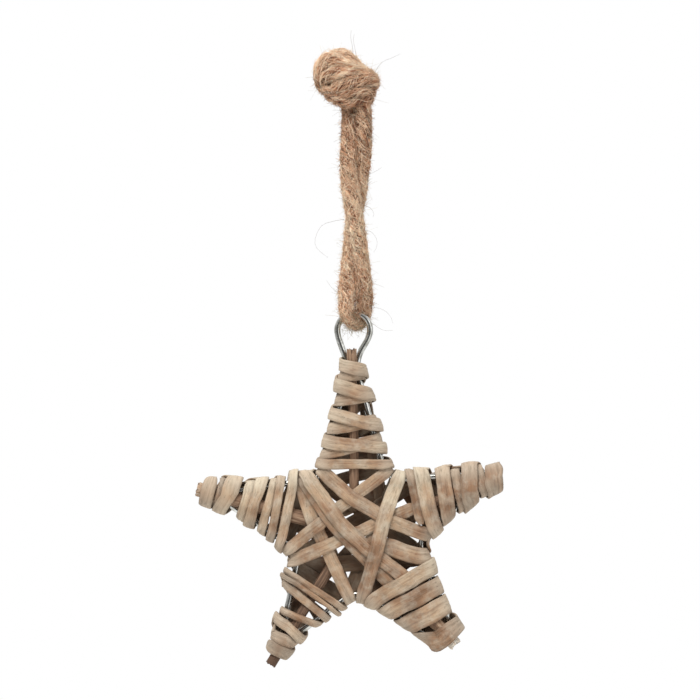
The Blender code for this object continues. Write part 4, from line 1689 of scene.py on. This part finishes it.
# The knot's turns, in the star's frame: radius, girth along, and the points each passes.
KNOT_TURNS = (
    (2.6, EVEN, ((-8.5, 3.0, 147.5), (-10.0, 0.5, 150.5), (-9.9, -1.6, 154.0), (-8.3, -2.8, 156.4),
                 (-5.4, -3.6, 156.0), (-1.6, -4.2, 154.2), (2.4, -4.2, 152.4), (5.6, -2.6, 150.6),
                 (6.2, 1.2, 149.2), (3.0, 4.0, 148.5))),
    (2.5, EVEN, ((-6.0, 3.0, 149.0), (-9.0, 0.4, 149.6), (-8.4, -3.0, 151.2), (-4.4, -4.6, 151.9),
                 (-0.2, -5.0, 151.0), (3.4, -4.0, 150.0), (3.0, 0.0, 149.0))),
    (2.6, EVEN, ((-4.4, -1.0, 147.2), (-4.0, -3.6, 147.6), (-1.0, -4.8, 148.6), (2.4, -4.9, 149.8),
                 (5.2, -3.6, 150.2), (6.4, -0.6, 149.4), (5.0, 3.2, 149.0), (1.0, 4.6, 150.0),
                 (-4.0, 4.4, 151.6), (-8.0, 2.0, 151.4))),
    (2.3, EVEN, ((-5.0, 0.0, 146.2), (-3.4, -3.4, 145.6), (0.0, -4.4, 145.6), (3.4, -4.0, 146.4),
                 (5.6, -1.4, 146.2), (5.0, 2.4, 146.0), (1.0, 4.2, 146.2), (-4.0, 4.0, 147.6),
                 (-7.6, 1.4, 149.2))),
    (2.2, EVEN, ((-8.6, 2.4, 149.8), (-8.2, -0.4, 147.4), (-6.0, -2.4, 144.8), (-2.6, -3.2, 142.9),
                 (1.6, -3.2, 142.9), (4.6, -1.6, 143.6), (4.0, 2.2, 144.2), (-1.0, 3.4, 144.4),
                 (-5.0, 2.2, 146.4))),
    (2.5, EVEN, ((-7.6, 2.6, 151.0), (-6.9, 2.0, 156.0), (-4.4, 0.8, 158.4), (-1.4, 0.2, 157.2),
                 (1.0, -0.2, 154.6), (3.6, 0.2, 152.0), (4.4, 1.0, 149.6))),
    (2.4, NECK, ((-0.9, 1.6, 137.5), (-1.0, 1.2, 141.0), (-0.6, 0.0, 146.0))),
    (2.4, NECK, ((3.7, -1.6, 137.5), (3.4, -1.4, 141.0), (2.2, 0.0, 146.0))),
)

# Long loose hairs, each as the points it passes in the star's frame.
LONG_HAIRS = (
    ((0.4, -1.0, 158.5), (0.1, -1.5, 161.5), (-0.4, -1.8, 164.0), (-0.3, -2.0, 166.6)),
    ((1.5, -1.0, 157.0), (1.0, -1.4, 160.5), (0.5, -1.6, 163.0), (0.7, -1.6, 165.4)),
    ((7.4, -1.0, 152.4), (8.8, -1.5, 154.6), (10.4, -2.0, 156.2), (13.0, -2.4, 157.2), (16.0, -2.6, 158.6)),
    ((-9.3, -1.0, 145.9), (-10.6, -1.5, 146.4), (-12.4, -2.0, 147.6)),
    ((5.2, -1.0, 118.6), (7.4, -1.6, 119.5), (10.0, -2.0, 121.0)),
    ((-2.6, -1.0, 103.8), (-6.5, -2.4, 103.0), (-10.0, -3.0, 101.6), (-12.0, -3.0, 98.0), (-12.2, -3.0, 95.0),
     (-10.4, -3.0, 92.8), (-8.0, -2.8, 91.0)),
    ((-3.6, -1.0, 79.2), (-5.6, -1.8, 80.0), (-7.2, -2.2, 81.6), (-8.4, -2.4, 83.4)),
    ((4.0, -0.8, 108.4), (6.0, -1.2, 107.6), (7.2, -1.4, 105.8), (7.0, -1.4, 104.4)),
    ((4.4, -1.0, 100.2), (6.6, -1.6, 99.4), (8.2, -2.0, 97.0), (8.2, -2.0, 94.6), (7.2, -2.0, 92.8)),
    ((5.6, -1.0, 74.4), (9.0, -1.6, 74.2), (11.6, -2.0, 72.8), (13.0, -2.2, 71.0), (13.6, -2.2, 69.2)),
    ((6.0, -1.0, 69.6), (8.6, -1.6, 67.8), (10.8, -2.0, 66.8), (13.6, -2.2, 66.8)),
    ((-2.6, -4.0, 68.0), (-3.2, -4.4, 66.8), (-2.8, -4.6, 65.6), (-1.4, -4.4, 65.8)),
)


@dataclass
class HangingCord:
    """The jute cord: doubled through the wire's eye, twisted, and tied in a fat knot."""

    radius: float = 2.4
    length: float = 0.157
    diameter: float = 0.005
    seed: int = 5

    STEP = 0.4  # between the points of a strand's path
    BIGHT_TOP = 71.5  # below this height the cord is the ragged bottom of its bight
    BETWEEN_AT = ((0.0, 1.0), (60.0, 1.0), (67.0, 1.15), (72.0, 0.95))
    GIRTH_AT = ((0.0, 0.98), (12.0, 1.05), (33.0, 1.12), (50.0, 1.0), (64.0, 1.08), (72.0, 0.98),
                (76.0, 0.72), (80.0, 0.72), (84.0, 0.98), (92.0, 1.08), (106.0, 1.0), (123.0, 1.12),
                (144.0, 1.05), (157.0, 0.98))
    HAIR_POINTS = 14

    def build(self, finishes: Finishes) -> None:
        """Args:
            finishes: the ornament's finishes.
        """
        route = to_star(CORD_ROUTE)
        leg = len(route) // 2
        path = curve_through(route, self.STEP)
        strand = JuteStrand(path, self.radius, self.seed, girth_at=self.GIRTH_AT)
        half = curve_through((route[:leg] + route[:leg:-1]) / 2, self.STEP)
        # It lies in the groove between the two legs, and its lower tone paints the shade there.
        between = JuteStrand(half, 1.9, self.seed + 1, girth_at=self.BETWEEN_AT, tone=0.4)
        low = JuteStrand(path[path[:, 2] < self.BIGHT_TOP], self.radius, self.seed + 2)
        turns = [
            JuteStrand(curve_through(points, self.STEP), radius, seed, girth_at=girth, curl=0.07)
            for seed, (radius, girth, points) in enumerate(KNOT_TURNS, self.seed + 20)
        ]

        def piece(
            name: str, surfaces: list[Surface], loose: bool = False, stands_for: Sequence[str] = ()
        ) -> bpy.types.Object:
            """Joins surfaces into one piece, of twisted jute or of loose fuzz."""
            finish = finishes.fuzz if loose else finishes.jute
            return put(name, joined(surfaces), finish, stands_for)

        cord = piece("hanging_cord_strand", [strand.surface()], stands_for=["hanging_cord"])
        others = [
            piece("hanging_cord_locks", [strand.lying_fibres(1100, LOCKS)]),
            piece("hanging_cord_fibres", [strand.lying_fibres(4900, FIBRES)]),
            piece("hanging_cord_crossing_fibres", [
                between.lying_fibres(300, CROSSING_LOCKS), between.lying_fibres(1300, CROSSING_FIBRES),
            ]),
            piece("hanging_cord_fuzz", [strand.flyaways(4700, 1.9), low.flyaways(500, 3.0)], loose=True),
            piece("cord_knot_turns", [t.surface() for t in turns], stands_for=["cord_knot"]),
            piece("cord_knot_locks", [t.lying_fibres(t.count(5), LOCKS) for t in turns]),
            piece("cord_knot_fibres", [t.lying_fibres(t.count(24), KNOT_FIBRES) for t in turns]),
            piece("cord_knot_fuzz", [t.flyaways(t.count(13), 1.9) for t in turns], loose=True),
            piece("cord_long_hairs", [self.long_hairs()], loose=True),
        ]

    def long_hairs(self) -> Surface:
        """The few long hairs that stand well off the cord, each a smooth curve.

        Returns:
            All of them, as thin tubes.
        """
        share = np.linspace(0, 1, self.HAIR_POINTS)
        paths = []
        for points in LONG_HAIRS:
            line = curve_through(points, 0.3)
            length = arc_length(line)
            paths.append(read_at(share, length / length[-1], line))
        radii = np.tile(0.05 * (1 - 0.5 * share), (len(paths), 1))
        return many_tubes(np.array(paths), radii, np.full(len(paths), 0.05))


# ---------------------------------------------------------------- the whole


def main() -> None:
    """Builds the studio and the ornament's pieces in order."""
    logging.basicConfig(level=logging.INFO, format="%(name)s %(message)s")
    studio = Studio()
    studio.camera()
    finishes = Finishes.mixed()
    HangingCord().build(finishes)
    form = StarForm()
    cover = Cover(form)
    WireFrame(form).build(cover, finishes)
    rng = np.random.default_rng(3)
    for stick in STICKS:
        stick.build(cover, finishes, rng)
    Binding(form, cover).build(finishes)
    studio.light()
    studio.floor()


if __name__ == "__main__":
    main()
